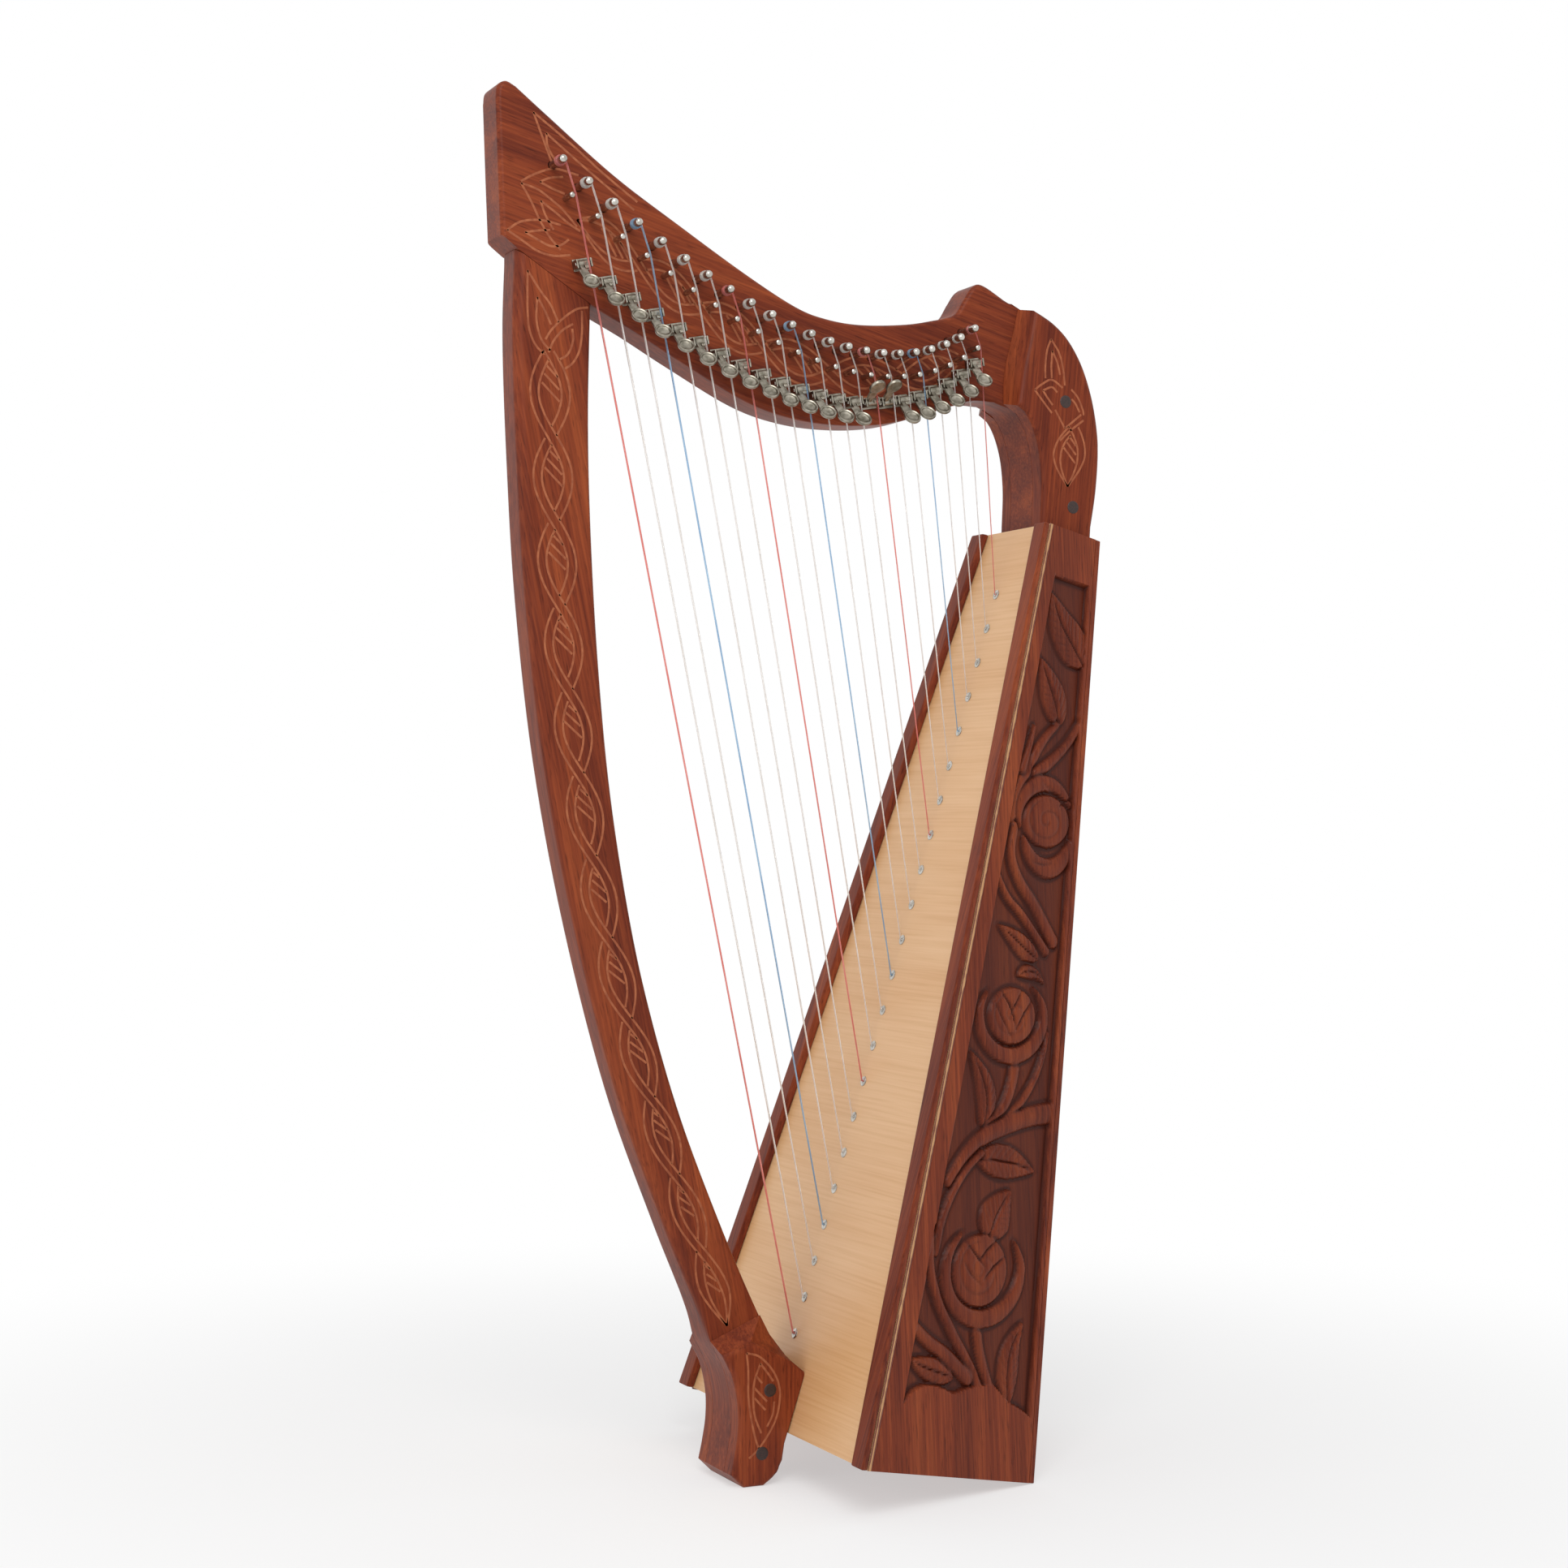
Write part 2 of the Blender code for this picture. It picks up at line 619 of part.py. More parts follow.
def foot_outline(back):
    """the foot's edge from its front joint round the sole to its back joint"""
    return joined(smooth(FOOT_FRONT, 2), smooth(FOOT_SOLE, 1), smooth(FOOT_HEEL, 2), foot_back_points(),
                  smooth(back, 1))


def roundings(outline, radius, is_rounded):
    """the rounding of each edge, none where the edge meets another piece"""
    pairs = zip(outline, outline[1:] + outline[:1])
    return [radius if is_rounded((a + b) / 2) else 0.0 for a, b in pairs]


def joint_way():
    """the way out of the pillar at its joint with the neck"""
    outer, inner = follow([PILLAR_OUTER[0], PILLAR_INNER[0]], 1)
    along = (inner - outer).normalized()
    return outer, Vector((-along.y, along.x))


def near_joint(point):
    start, way = joint_way()
    return abs((point - start).dot(way)) < 2 * SEAT_GAP


def shoulder_runs():
    """the knee's back and front edges, both cut off on the sound box's top"""
    back, front = follow(SHOULDER_BACK, 2), follow(KNEE_FRONT, 3)
    back[-1], front[0] = cut_on_top([back[-1], front[0]])
    return back, front


def neck_outline():
    """the neck from its head over the pillar to the knee on the sound box"""
    back, front = shoulder_runs()
    return turned_left(joined(follow(HEAD_FRONT, 1), follow(HEAD_TOP, 2), follow(NECK_TOP, 2),
                              follow(NECK_BUMP, 2), back, front, follow(NECK_LOW, 2),
                              follow([PILLAR_OUTER[0], HEAD_FRONT[0]], 1)[:1]))


def neck_edge_is_open(point):
    """an edge of the neck that no other piece covers"""
    cheek_start = follow_strings(CHEEK_LINE)[-1][0] * MM
    return point.x < cheek_start + CHEEK_ROUNDING and not near_joint(point)


def make_neck(wood):
    outline = neck_outline()
    plank = rounded_plank(outline, roundings(outline, NECK_ROUNDING, neck_edge_is_open))
    neck = node("neck", plank, wood)
    half = PLANK_THICKNESS / 2
    fittings, ears, axles, holes = (bmesh.new() for _ in range(4))
    for index in range(STRING_COUNT):
        tuning, bridge = tuning_point(index), bridge_point(index)
        hole_radius = TUNING_PIN_RADIUS + PIN_HOLE_CLEARANCE
        turned_bar(holes, tuning, pin_phase(index), [(-half - PIN_DEPTH, hole_radius),
                                                     (half + PIN_DEPTH, hole_radius)])
        turned_bar(fittings, bridge, 0.0, [(-half - BRIDGE_PIN_LENGTH, BRIDGE_PIN_RADIUS),
                                           (-half + PIN_DEPTH, BRIDGE_PIN_RADIUS)])
        add_bracket(index, fittings, ears, axles)
    for name, tool in (("bridge_pins_and_plates", fittings), ("ears", ears), ("axles", axles)):
        neck = combine(neck, node(name, tool, wood), "UNION")
    combine(neck, node("pin_holes", holes, wood), "DIFFERENCE")


def add_bracket(index, plates, ears, axles):
    """the lever's bracket: a plate on the neck, two ears and the axle between them"""
    frame = lever_frame(index)
    face = PIVOT_STAND_OFF
    bass, treble = -HUB_BASS_SIDE - SEAT_GAP, HUB_TREBLE_SIDE + SEAT_GAP
    block(plates, (bass - EAR_THICKNESS, face - BRACKET_PLATE_THICKNESS, -BRACKET_HALF_HEIGHT),
          (treble + EAR_THICKNESS, face + BRACKET_PLATE_THICKNESS, BRACKET_HALF_HEIGHT), frame)
    tip = face - EAR_REACH
    high = EAR_HALF_HEIGHT
    profile = [(face, high), (tip, high * EAR_TAPER), (tip, -high * EAR_TAPER), (face, -high)]
    for low_x in (bass - EAR_THICKNESS, treble):
        close_rings(ears, [[ears.verts.new(frame @ Vector((x, y, z))) for y, z in profile]
                           for x in (low_x + EAR_SET_IN, low_x + EAR_THICKNESS - EAR_SET_IN)])
    start = frame @ Vector((bass - EAR_THICKNESS / 2, 0, 0))
    end = frame @ Vector((treble + EAR_THICKNESS / 2, 0, 0))
    cylinder_between(axles, start, end, AXLE_RADIUS, AXLE_SIDES)


def pin_phase(index):
    """the angle at which the string reaches its tuning pin"""
    across = top_frame(index)[1]
    return math.atan2(across.z, across.x)


def turned_bar(bm, centre, phase, stations):
    """a closed round bar along y, from a radius at each y"""
    rings = []
    for y, radius in stations:
        angles = [phase + 2 * math.pi * k / PIN_SIDES for k in range(PIN_SIDES)]
        rings.append([bm.verts.new((centre.x + radius * math.cos(a), y, centre.z + radius * math.sin(a)))
                      for a in angles])
    close_rings(bm, rings)


def close_rings(bm, rings):
    count = len(rings[0])
    for low, high in zip(rings, rings[1:]):
        for k in range(count):
            m = (k + 1) % count
            bm.faces.new((low[k], low[m], high[m], high[k]))
    bm.faces.new(rings[0][::-1])
    bm.faces.new(rings[-1])


def pin_ring(bm, y, phase, round_radius):
    """a ring of the pin, or of its squared key end where no radius is given"""
    ring = []
    for k in range(PIN_SIDES):
        angle = phase + 2 * math.pi * k / PIN_SIDES
        square_radius = KEY_END_SIDE / 2 * (math.sqrt(2) if k % 2 else 1.0)
        radius = round_radius or square_radius
        ring.append(bm.verts.new((radius * math.cos(angle), y, radius * math.sin(angle))))
    return ring


def make_tuning_pin(index, metal):
    """a pin with a squared key end, its string wound on its other end, no corner of one on the other's"""
    half = PLANK_THICKNESS / 2
    phase = pin_phase(index) + PIN_TWIST
    tip = -half - TUNING_PIN_REACH
    bm = bmesh.new()
    stations = [(tip, PIN_TIP_RADIUS), (tip + PIN_TIP_BEVEL, TUNING_PIN_RADIUS),
                (half + KEY_END_START, TUNING_PIN_RADIUS), (half + 2 * KEY_END_START, None),
                (half + KEY_END_LENGTH, None)]
    close_rings(bm, [pin_ring(bm, y, phase, round_radius) for y, round_radius in stations])
    pin = node("tuning_pin_%02d" % (index + 1), bm, metal)
    points = winding_points(index)
    coil = bmesh.new()
    close_rings(coil, [winding_ring(coil, point, string_radius(index)) for point in points])
    pin = combine(pin, node("winding", coil, metal), "UNION")
    smooth_shading(pin.data)
    centre = tuning_point(index)
    pin.location = (centre.x, 0, centre.z)
    return coil_gap(points, string_radius(index))


def winding_points(index):
    """the wound string's centre line, from where the string arrives towards the pin's tip"""
    radius, phase = winding_radius(index), pin_phase(index)
    pitch = 2 * string_radius(index) + WINDING_GAP
    count = round(WINDING_TURNS * WINDING_STEPS)
    points = []
    for step in range(count + 1):
        angle = phase + 2 * math.pi * step / WINDING_STEPS
        y = string_y() - pitch * step / WINDING_STEPS
        points.append(Vector((radius * math.cos(angle), y, radius * math.sin(angle))))
    return points


def winding_ring(bm, point, radius):
    """the wound string's section at a point of its centre line, a flat of it towards the pin"""
    out = Vector((point.x, 0, point.z)).normalized()
    angles = [2 * math.pi * k / WINDING_SIDES for k in range(WINDING_SIDES)]
    ways = [out * math.cos(a) + Vector((0, 1, 0)) * math.sin(a) for a in angles]
    return [bm.verts.new(point + way * radius) for way in ways]


def coil_gap(points, radius):
    """the least gap of the winding to itself, between points half a turn apart or more"""
    far = WINDING_STEPS // 2
    gaps = [(a - b).length for i, a in enumerate(points) for b in points[i + far:]]
    return min(gaps) - 2 * radius


def oval(bm, centre, half_width, half_length, low_z, high_z, sides):
    """a closed oval plate lying flat"""
    rings = []
    for z in (low_z, high_z):
        ring = []
        for k in range(sides):
            angle = 2 * math.pi * (k + 0.5) / sides
            ring.append(bm.verts.new((centre.x + half_width * math.cos(angle),
                                      centre.y + half_length * math.sin(angle), z)))
        rings.append(ring)
    close_rings(bm, rings)


def lever_mesh(metal):
    """the lever with its handle level: hub, cam, arm and dished round handle"""
    hub = bmesh.new()
    cylinder_between(hub, Vector((-HUB_BASS_SIDE, 0, 0)), Vector((HUB_TREBLE_SIDE, 0, 0)), HUB_RADIUS,
                     HUB_SIDES)
    lever = node("lever_shape", hub, metal)
    cam = bmesh.new()
    turn = Matrix.Rotation(LEVER_RAISED, 4, "X")
    block(cam, (-CAM_WIDTH / 2, -CAM_REACH, -HUB_RADIUS / 2), (CAM_WIDTH / 2, 0, HUB_RADIUS / 2), turn)
    arm = bmesh.new()
    reach = HANDLE_INNER_REACH + 2 * HANDLE_RIM
    block(arm, (-HUB_BASS_SIDE + EAR_SET_IN, -reach, -ARM_THICKNESS / 2),
          (-HUB_BASS_SIDE + ARM_WIDTH, 0, ARM_THICKNESS / 2))
    plate = bmesh.new()
    centre = Vector((-HANDLE_OFFSET, -HANDLE_INNER_REACH - HANDLE_LENGTH / 2, 0))
    oval(plate, centre, HANDLE_WIDTH / 2, HANDLE_LENGTH / 2, -HANDLE_THICKNESS / 2, HANDLE_THICKNESS / 2,
         HANDLE_SIDES)
    for name, tool in (("cam", cam), ("arm", arm), ("handle", plate)):
        lever = combine(lever, node(name, tool, metal), "UNION")
    dish = bmesh.new()
    top = HANDLE_THICKNESS / 2
    oval(dish, centre, HANDLE_WIDTH / 2 - HANDLE_RIM, HANDLE_LENGTH / 2 - HANDLE_RIM, top - HANDLE_DISH_DEPTH,
         top + HANDLE_DISH_DEPTH, DISH_SIDES)
    bore = bmesh.new()
    cylinder_between(bore, Vector((-2 * HUB_BASS_SIDE, 0, 0)), Vector((2 * HUB_BASS_SIDE, 0, 0)),
                     AXLE_RADIUS + AXLE_CLEARANCE, HUB_SIDES)
    for name, tool in (("dish", dish), ("bore", bore)):
        lever = combine(lever, node(name, tool, metal), "DIFFERENCE")
    mesh = lever.data
    mesh.name = "lever"
    smooth_shading(mesh)
    bpy.data.objects.remove(lever, do_unlink=True)
    return mesh


def make_levers(metal):
    mesh = lever_mesh(metal)
    for index in range(STRING_COUNT):
        lever = bpy.data.objects.new("lever_%02d" % (index + 1), mesh)
        bpy.context.collection.objects.link(lever)
        lever.matrix_world = lever_frame(index) @ Matrix.Rotation(lever_turn(index), 4, "X")


def pillar_runs():
    """the pillar's outer and inner edges, which start where the neck's head ends"""
    return [smooth(follow_strings(run[:1]) + run[1:], 2) for run in (PILLAR_OUTER, PILLAR_INNER)]


def make_pillar(wood):
    outer, inner = pillar_runs()
    seat = joint_way()[1] * -SEAT_GAP
    outer[0], inner[0] = outer[0] + seat, inner[0] + seat
    outline = turned_left(joined(outer, foot_outline(FOOT_BACK), inner[::-1]))
    foot_top = FOOT_FRONT[0][1] * MM

    def is_open(point):
        return point.y > foot_top + PILLAR_ROUNDING and not near_joint(point)

    amounts = roundings(outline, PILLAR_ROUNDING, lambda point: is_open(point) and is_pillar_front(point))
    soft = roundings(outline, NECK_ROUNDING, is_open)
    node("pillar", rounded_plank(outline, [max(a, b) for a, b in zip(amounts, soft)]), wood)


def is_pillar_front(point):
    """an edge on the pillar's outer curve, which is rounded more than the inner one"""
    outer, inner = pillar_runs()
    return min((point - p).length for p in outer) < min((point - p).length for p in inner)


def blended(first, second, share):
    return [a.lerp(b, share) for a, b in zip(first, second)]


def plane_distance(plane, point):
    """how far a point of the middle plane, as x and z, lies outside a plane"""
    start, way = plane
    return (point.x - start.x) * way.x + (point.y - start.z) * way.z


def make_cheeks(name, inner_outline, outer_outline, seat, plugs, wood):
    """a pair of cheeks on the two faces of a plank, with the dark plugs over their bolts"""
    low = PLANK_THICKNESS / 2 + SEAT_GAP
    high = PLANK_THICKNESS / 2 + CHEEK_THICKNESS
    inner, outer = turned_left(inner_outline), turned_left(outer_outline)
    share = 1 - CHEEK_ROUNDING / CHEEK_THICKNESS
    seated = [abs(plane_distance(seat, p)) < 2 * SEAT_GAP for p in outer]
    amounts = [0.0 if a and b else CHEEK_ROUNDING for a, b in zip(seated, seated[1:] + seated[:1])]
    layers = [(low, inner), (high - CHEEK_ROUNDING, blended(inner, outer, share)),
              (high, inset(outer, amounts))]
    for side, label in ((-1, "near"), (1, "far")):
        bm = bmesh.new()
        layered_plate(bm, [(side * y, outline) for y, outline in layers])
        cheek = node("%s_cheek_%s" % (name, label), bm, wood)
        caps = bmesh.new()
        for x, z in plugs:
            root = Vector((x * MM, side * (high - PLUG_DEPTH), z * MM))
            face = Vector((x * MM, side * (high + PLUG_HEIGHT), z * MM))
            cylinder_between(caps, root, face, PLUG_RADIUS, PLUG_SIDES)
        combine(cheek, node("plugs", caps, wood), "UNION")


def make_foot_cheeks(wood):
    inner = foot_outline(FOOT_BACK)
    outer = foot_outline(FOOT_CHAMFER_BACK)
    outer[0] = Vector(FOOT_CHAMFER_FRONT) * MM
    outer[1] = (outer[1] + outer[2]) / 2
    make_cheeks("foot", inner, outer, board_plane(), FOOT_PLUGS, wood)


def make_shoulder_cheeks(wood):
    back, front = shoulder_runs()
    edge, sloped = follow(CHEEK_LINE, 1), follow(CHEEK_LINE_OUTER, 1)
    back = [p for p in back if p.x > sloped[0].x + CHEEK_ROUNDING]
    front = [p for p in front if p.x > sloped[-1].x + CHEEK_ROUNDING]
    inner = joined([edge[0]], back, front, edge[:0:-1])
    outer = joined([sloped[0]], back, front, sloped[:0:-1])
    make_cheeks("shoulder", inner, outer, top_plane(), follow_strings(SHOULDER_PLUGS), wood)


def main():
    clear_scene()
    wood = material("mahogany_stained_wood", WOOD)
    birch = material("birch_plywood", BIRCH)
    metal = material("nickel_silver", METAL)
    make_sound_box(wood, birch)
    make_strings(wood)
    make_neck(wood)
    make_pillar(wood)
    make_foot_cheeks(wood)
    make_shoulder_cheeks(wood)
    gaps = [make_tuning_pin(index, metal) for index in range(STRING_COUNT)]
    make_levers(metal)
    print("least gap of a winding to itself, mm:", round(min(gaps) / MM, 3))


main()
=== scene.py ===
# %% [markdown]
# # A travel harp
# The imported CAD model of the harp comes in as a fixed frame: every solid is where it belongs, and the tuning
# pins and levers already turn on their joints. This lesson dresses that frame. Smooth planks, a carved sound
# box, strings and turned metal take the places of the plain solids, in the same metres and the same frame.

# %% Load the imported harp
import math

import bmesh
import bpy
import numpy as np
from mathutils import Matrix, Vector


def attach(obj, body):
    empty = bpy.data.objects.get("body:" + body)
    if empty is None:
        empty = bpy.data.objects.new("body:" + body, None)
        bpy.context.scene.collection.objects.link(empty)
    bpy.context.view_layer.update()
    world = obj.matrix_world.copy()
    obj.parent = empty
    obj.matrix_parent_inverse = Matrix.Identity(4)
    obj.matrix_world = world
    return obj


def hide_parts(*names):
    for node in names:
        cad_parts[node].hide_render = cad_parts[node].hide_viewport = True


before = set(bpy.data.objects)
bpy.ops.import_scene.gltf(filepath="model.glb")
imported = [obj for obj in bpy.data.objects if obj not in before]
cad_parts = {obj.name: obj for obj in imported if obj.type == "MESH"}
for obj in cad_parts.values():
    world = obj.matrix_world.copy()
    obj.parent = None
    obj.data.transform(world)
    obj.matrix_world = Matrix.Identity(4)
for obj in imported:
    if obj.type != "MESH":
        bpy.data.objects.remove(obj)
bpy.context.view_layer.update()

MM = 0.001

# %% [markdown]
# ## Where the photographer stood
# A camera matches a photograph when its place, its direction and its lens all match. These numbers come from
# the harp itself: the eyelets stand on one straight line at an even pitch, and the sound box has four
# straight long edges. The camera is level and looks 25 degrees past the front, and a small shift lifts the
# frame.

# %% Camera
IMAGE_SIDE = 1932
FOCAL_PIXELS = 3320
HORIZON_BELOW_MIDDLE = 42
VIEW_TURN = math.radians(25.4)
CAMERA_PLACE = (-0.715, -1.485, 0.399)

camera_data = bpy.data.cameras.new("camera")
camera_data.sensor_width = 36.0
camera_data.lens = camera_data.sensor_width * FOCAL_PIXELS / IMAGE_SIDE
camera_data.shift_y = HORIZON_BELOW_MIDDLE / IMAGE_SIDE
camera = bpy.data.objects.new("camera", camera_data)
camera.location = CAMERA_PLACE
camera.rotation_euler = (math.pi / 2, 0, -VIEW_TURN)
bpy.context.collection.objects.link(camera)
bpy.context.scene.camera = camera
bpy.context.scene.view_settings.view_transform = "Standard"
print("lens, mm:", round(camera_data.lens, 1))

# %% [markdown]
# ## Two small helpers for node trees
# Colours are written as the hex values that a paint program shows. Blender works in linear light, so one
# function turns them. The other one adds a node: what is handed in as a socket is linked, anything else is
# set as the input's own value.

# %% Colours and nodes
def linear(text):
    """a hex colour as linear light"""
    shares = [int(text[i:i + 2], 16) / 255 for i in (1, 3, 5)]
    return [s / 12.92 if s <= 0.04045 else ((s + 0.055) / 1.055) ** 2.4 for s in shares] + [1.0]


def add_node(tree, kind, inputs=(), **settings):
    """a node with its settings and inputs"""
    made = tree.nodes.new(kind)
    for name, value in settings.items():
        setattr(made, name, value)
    for key, value in dict(inputs).items():
        socket = made.inputs[key]
        if isinstance(value, bpy.types.NodeSocket):
            tree.links.new(value, socket)
        else:
            socket.default_value = value
    return made


print("mid brown in linear light:", [round(s, 3) for s in linear("#7a3520")])

# %% [markdown]
# ## Light and floor
# A studio wraps a shiny object in soft white light. The sky here is plain white to the eye and in
# reflections, and dimmer as a lamp. One large soft lamp stands high behind the camera, so that its own
# reflection misses the varnished faces and their colour stays deep, and a weak one fills from the left. The
# floor is pale near the harp, so that it shows the shadow, and glows a little, so that it is nearly as white
# as the sky. Further out it turns to plain white, and no horizon line crosses the picture.

# %% Sky
world = bpy.data.worlds.new("white_studio")
bpy.context.scene.world = world
world.use_nodes = True
sky = world.node_tree
sky.nodes.clear()
rays = add_node(sky, "ShaderNodeLightPath")
seen = add_node(sky, "ShaderNodeMath", {0: rays.outputs["Is Camera Ray"], 1: rays.outputs["Is Glossy Ray"]},
                operation="MAXIMUM")
seen = add_node(sky, "ShaderNodeMath", {0: seen.outputs[0], 1: rays.outputs["Is Transmission Ray"]},
                operation="MAXIMUM")
SKY_AS_LAMP = 0.62
level = add_node(sky, "ShaderNodeMapRange", {"Value": seen.outputs[0], "To Min": SKY_AS_LAMP, "To Max": 1.0})
plain = add_node(sky, "ShaderNodeBackground", {"Color": linear("#ffffff"), "Strength": level.outputs[0]})
add_node(sky, "ShaderNodeOutputWorld", {"Surface": plain.outputs[0]})
print("sky made of", len(sky.nodes), "nodes")

# %% Lamps
def soft_lamp(name, place, aim, size, power):
    """a square lamp that faces a point"""
    data = bpy.data.lights.new(name, "AREA")
    data.size = size
    data.energy = power
    lamp = bpy.data.objects.new(name, data)
    lamp.location = place
    lamp.rotation_euler = (Vector(aim) - Vector(place)).to_track_quat("-Z", "Y").to_euler()
    bpy.context.collection.objects.link(lamp)
    return lamp


HARP_MIDDLE = (0, 0, 0.42)
soft_lamp("soft_lamp_front", (-0.8, -1.7, 1.9), HARP_MIDDLE, 1.3, 28.0)
soft_lamp("soft_lamp_left", (-2.3, -0.4, 0.9), HARP_MIDDLE, 1.2, 5.0)
print("lamps:", *(lamp.name for lamp in bpy.data.lights))

# %% Floor
FLOOR_HALF = 4.0
FLOOR_PALE_TO = 0.25
FLOOR_WHITE_FROM = 0.95
FLOOR_GLOW = 0.5
floor_mesh = bpy.data.meshes.new("floor")
corners = [(-FLOOR_HALF, -FLOOR_HALF, 0), (FLOOR_HALF, -FLOOR_HALF, 0), (FLOOR_HALF, FLOOR_HALF, 0),
           (-FLOOR_HALF, FLOOR_HALF, 0)]
floor_mesh.from_pydata(corners, [], [(0, 1, 2, 3)])
floor = bpy.data.objects.new("floor", floor_mesh)
bpy.context.collection.objects.link(floor)
pale = bpy.data.materials.new("pale_paper_floor")
pale.use_nodes = True
tree = pale.node_tree
tree.nodes.clear()
place = add_node(tree, "ShaderNodeTexCoord")
reach = add_node(tree, "ShaderNodeVectorMath", {0: place.outputs["Object"]}, operation="LENGTH")
far = add_node(tree, "ShaderNodeMapRange", {"Value": reach.outputs["Value"], "From Min": FLOOR_PALE_TO,
                                            "From Max": FLOOR_WHITE_FROM, "To Min": FLOOR_GLOW},
               interpolation_type="SMOOTHSTEP")
paper = add_node(tree, "ShaderNodeBsdfDiffuse", {"Color": linear("#f6f6f6")})
glow = add_node(tree, "ShaderNodeEmission", {"Color": linear("#ffffff"), "Strength": 1.0})
mix = add_node(tree, "ShaderNodeMixShader", {0: far.outputs[0], 1: paper.outputs[0], 2: glow.outputs[0]})
add_node(tree, "ShaderNodeOutputMaterial", {"Surface": mix.outputs[0]})
floor_mesh.materials.append(pale)
print("floor, metres wide:", 2 * FLOOR_HALF)

# %% [markdown]
# ## Stained wood
# The frame is a hard, even-grained wood with a red-brown stain under satin varnish. Its fibres run along
# each piece, so the pattern can't use the same direction everywhere. Every wooden piece therefore carries an
# attribute named grain: how far a point lies along, across and into the wood, in metres. Stretched noise on
# it gives streaks a millimetre wide and several centimetres long, broad bands where the stain took darker,
# and short pores. Real pores are 0.2 mm wide and wouldn't show, so they are drawn four times as wide.

# %% A material and its grain
def new_material(name, colour, roughness, metallic=0.0, **own):
    """a material with its shader's plain values set on the shader itself"""
    made = bpy.data.materials.new(name)
    made.use_nodes = True
    shader = made.node_tree.nodes["Principled BSDF"]
    shader.inputs["Base Color"].default_value = linear(colour)
    shader.inputs["Roughness"].default_value = roughness
    shader.inputs["Metallic"].default_value = metallic
    for key, value in own.items():
        shader.inputs[key.replace("_", " ")].default_value = value
    return made, made.node_tree, shader


def grain_noise(tree, sizes, detail=2.0, distortion=0.0):
    """noise whose spots are this long, wide and deep in the grain, in millimetres"""
    grain = add_node(tree, "ShaderNodeAttribute", attribute_name="grain")
    scale = [1.0 / (size * MM) for size in sizes]
    stretched = add_node(tree, "ShaderNodeMapping", {"Vector": grain.outputs["Vector"], "Scale": scale})
    noise = {"Vector": stretched.outputs[0], "Scale": 1.0, "Detail": detail, "Distortion": distortion}
    return add_node(tree, "ShaderNodeTexNoise", noise).outputs[0]


def ramp(tree, value, stops):
    """a colour for a number, from (place, hex colour) stops"""
    made = add_node(tree, "ShaderNodeValToRGB", {0: value})
    band = made.color_ramp
    while len(band.elements) < len(stops):
        band.elements.new(0.5)
    for element, (place, colour) in zip(band.elements, stops):
        element.position = place
        element.color = linear(colour)
    return made.outputs["Color"]


def mixed(tree, share, first, second, how="MIX"):
    """two colours mixed by a share"""
    made = add_node(tree, "ShaderNodeMix", {0: share, 6: first, 7: second}, data_type="RGBA", blend_type=how)
    return made.outputs[2]


# %% Stained wood
stained_wood, tree, shader = new_material("satin_varnished_stained_wood", "#75311b", 0.4,
                                          Specular_IOR_Level=0.14)
streaks = grain_noise(tree, (70, 1.5, 2.0), detail=3.0)
bands = grain_noise(tree, (260, 16, 22), detail=2.0, distortion=0.5)
pores = grain_noise(tree, (11, 0.8, 0.8), detail=1.0)
fine = ramp(tree, streaks, [(0.30, "#521d11"), (0.50, "#73301a"), (0.72, "#954726")])
broad = ramp(tree, bands, [(0.34, "#552013"), (0.52, "#76321b"), (0.70, "#9a4c28")])
body_colour = mixed(tree, 0.5, fine, broad)
pore_dark = ramp(tree, pores, [(0.60, "#ffffff"), (0.72, "#8f7f7a")])
body_colour = mixed(tree, 0.55, body_colour, pore_dark, "MULTIPLY")
# painted shade: the side panels' point attribute darkens the carved field, its low ground and its hollows,
# partly for stain that gathers there and partly as painted shade
hollow = add_node(tree, "ShaderNodeAttribute", attribute_name="hollow").outputs["Fac"]
body_colour = mixed(tree, hollow, body_colour, linear("#3c160d"))
tree.links.new(body_colour, shader.inputs["Base Color"])
rough = add_node(tree, "ShaderNodeMapRange", {"Value": bands, "To Min": 0.36, "To Max": 0.48})
tree.links.new(rough.outputs[0], shader.inputs["Roughness"])
print("wood made of", len(tree.nodes), "nodes")

# %% [markdown]
# ## Birch plywood
# The soundboard is birch plywood under clear varnish. Birch is pale and close, and here its grain runs
# across the board, from trim to trim. Slightly wavy lines a few millimetres apart are what the eye sees.
# The board's edge shows between the dark trim and the side panel as one light line: the middle ply is pale,
# and stain has crept over the outer ones.

# %% Birch face and birch edge
birch, tree, shader = new_material("clear_varnished_birch_plywood", "#d6a777", 0.42, Coat_Weight=0.15,
                                   Coat_Roughness=0.25)
waves = grain_noise(tree, (95, 1.6, 50), detail=2.0, distortion=0.35)
clouds = grain_noise(tree, (150, 40, 80), detail=1.0)
line_colour = ramp(tree, waves, [(0.30, "#ca9765"), (0.48, "#d6a777"), (0.70, "#deb284")])
cloud_colour = ramp(tree, clouds, [(0.35, "#d1a06c"), (0.60, "#dbb081")])
tree.links.new(mixed(tree, 0.5, line_colour, cloud_colour), shader.inputs["Base Color"])
bump = add_node(tree, "ShaderNodeBump", {"Height": waves, "Strength": 0.15, "Distance": 0.1 * MM})
tree.links.new(bump.outputs[0], shader.inputs["Normal"])

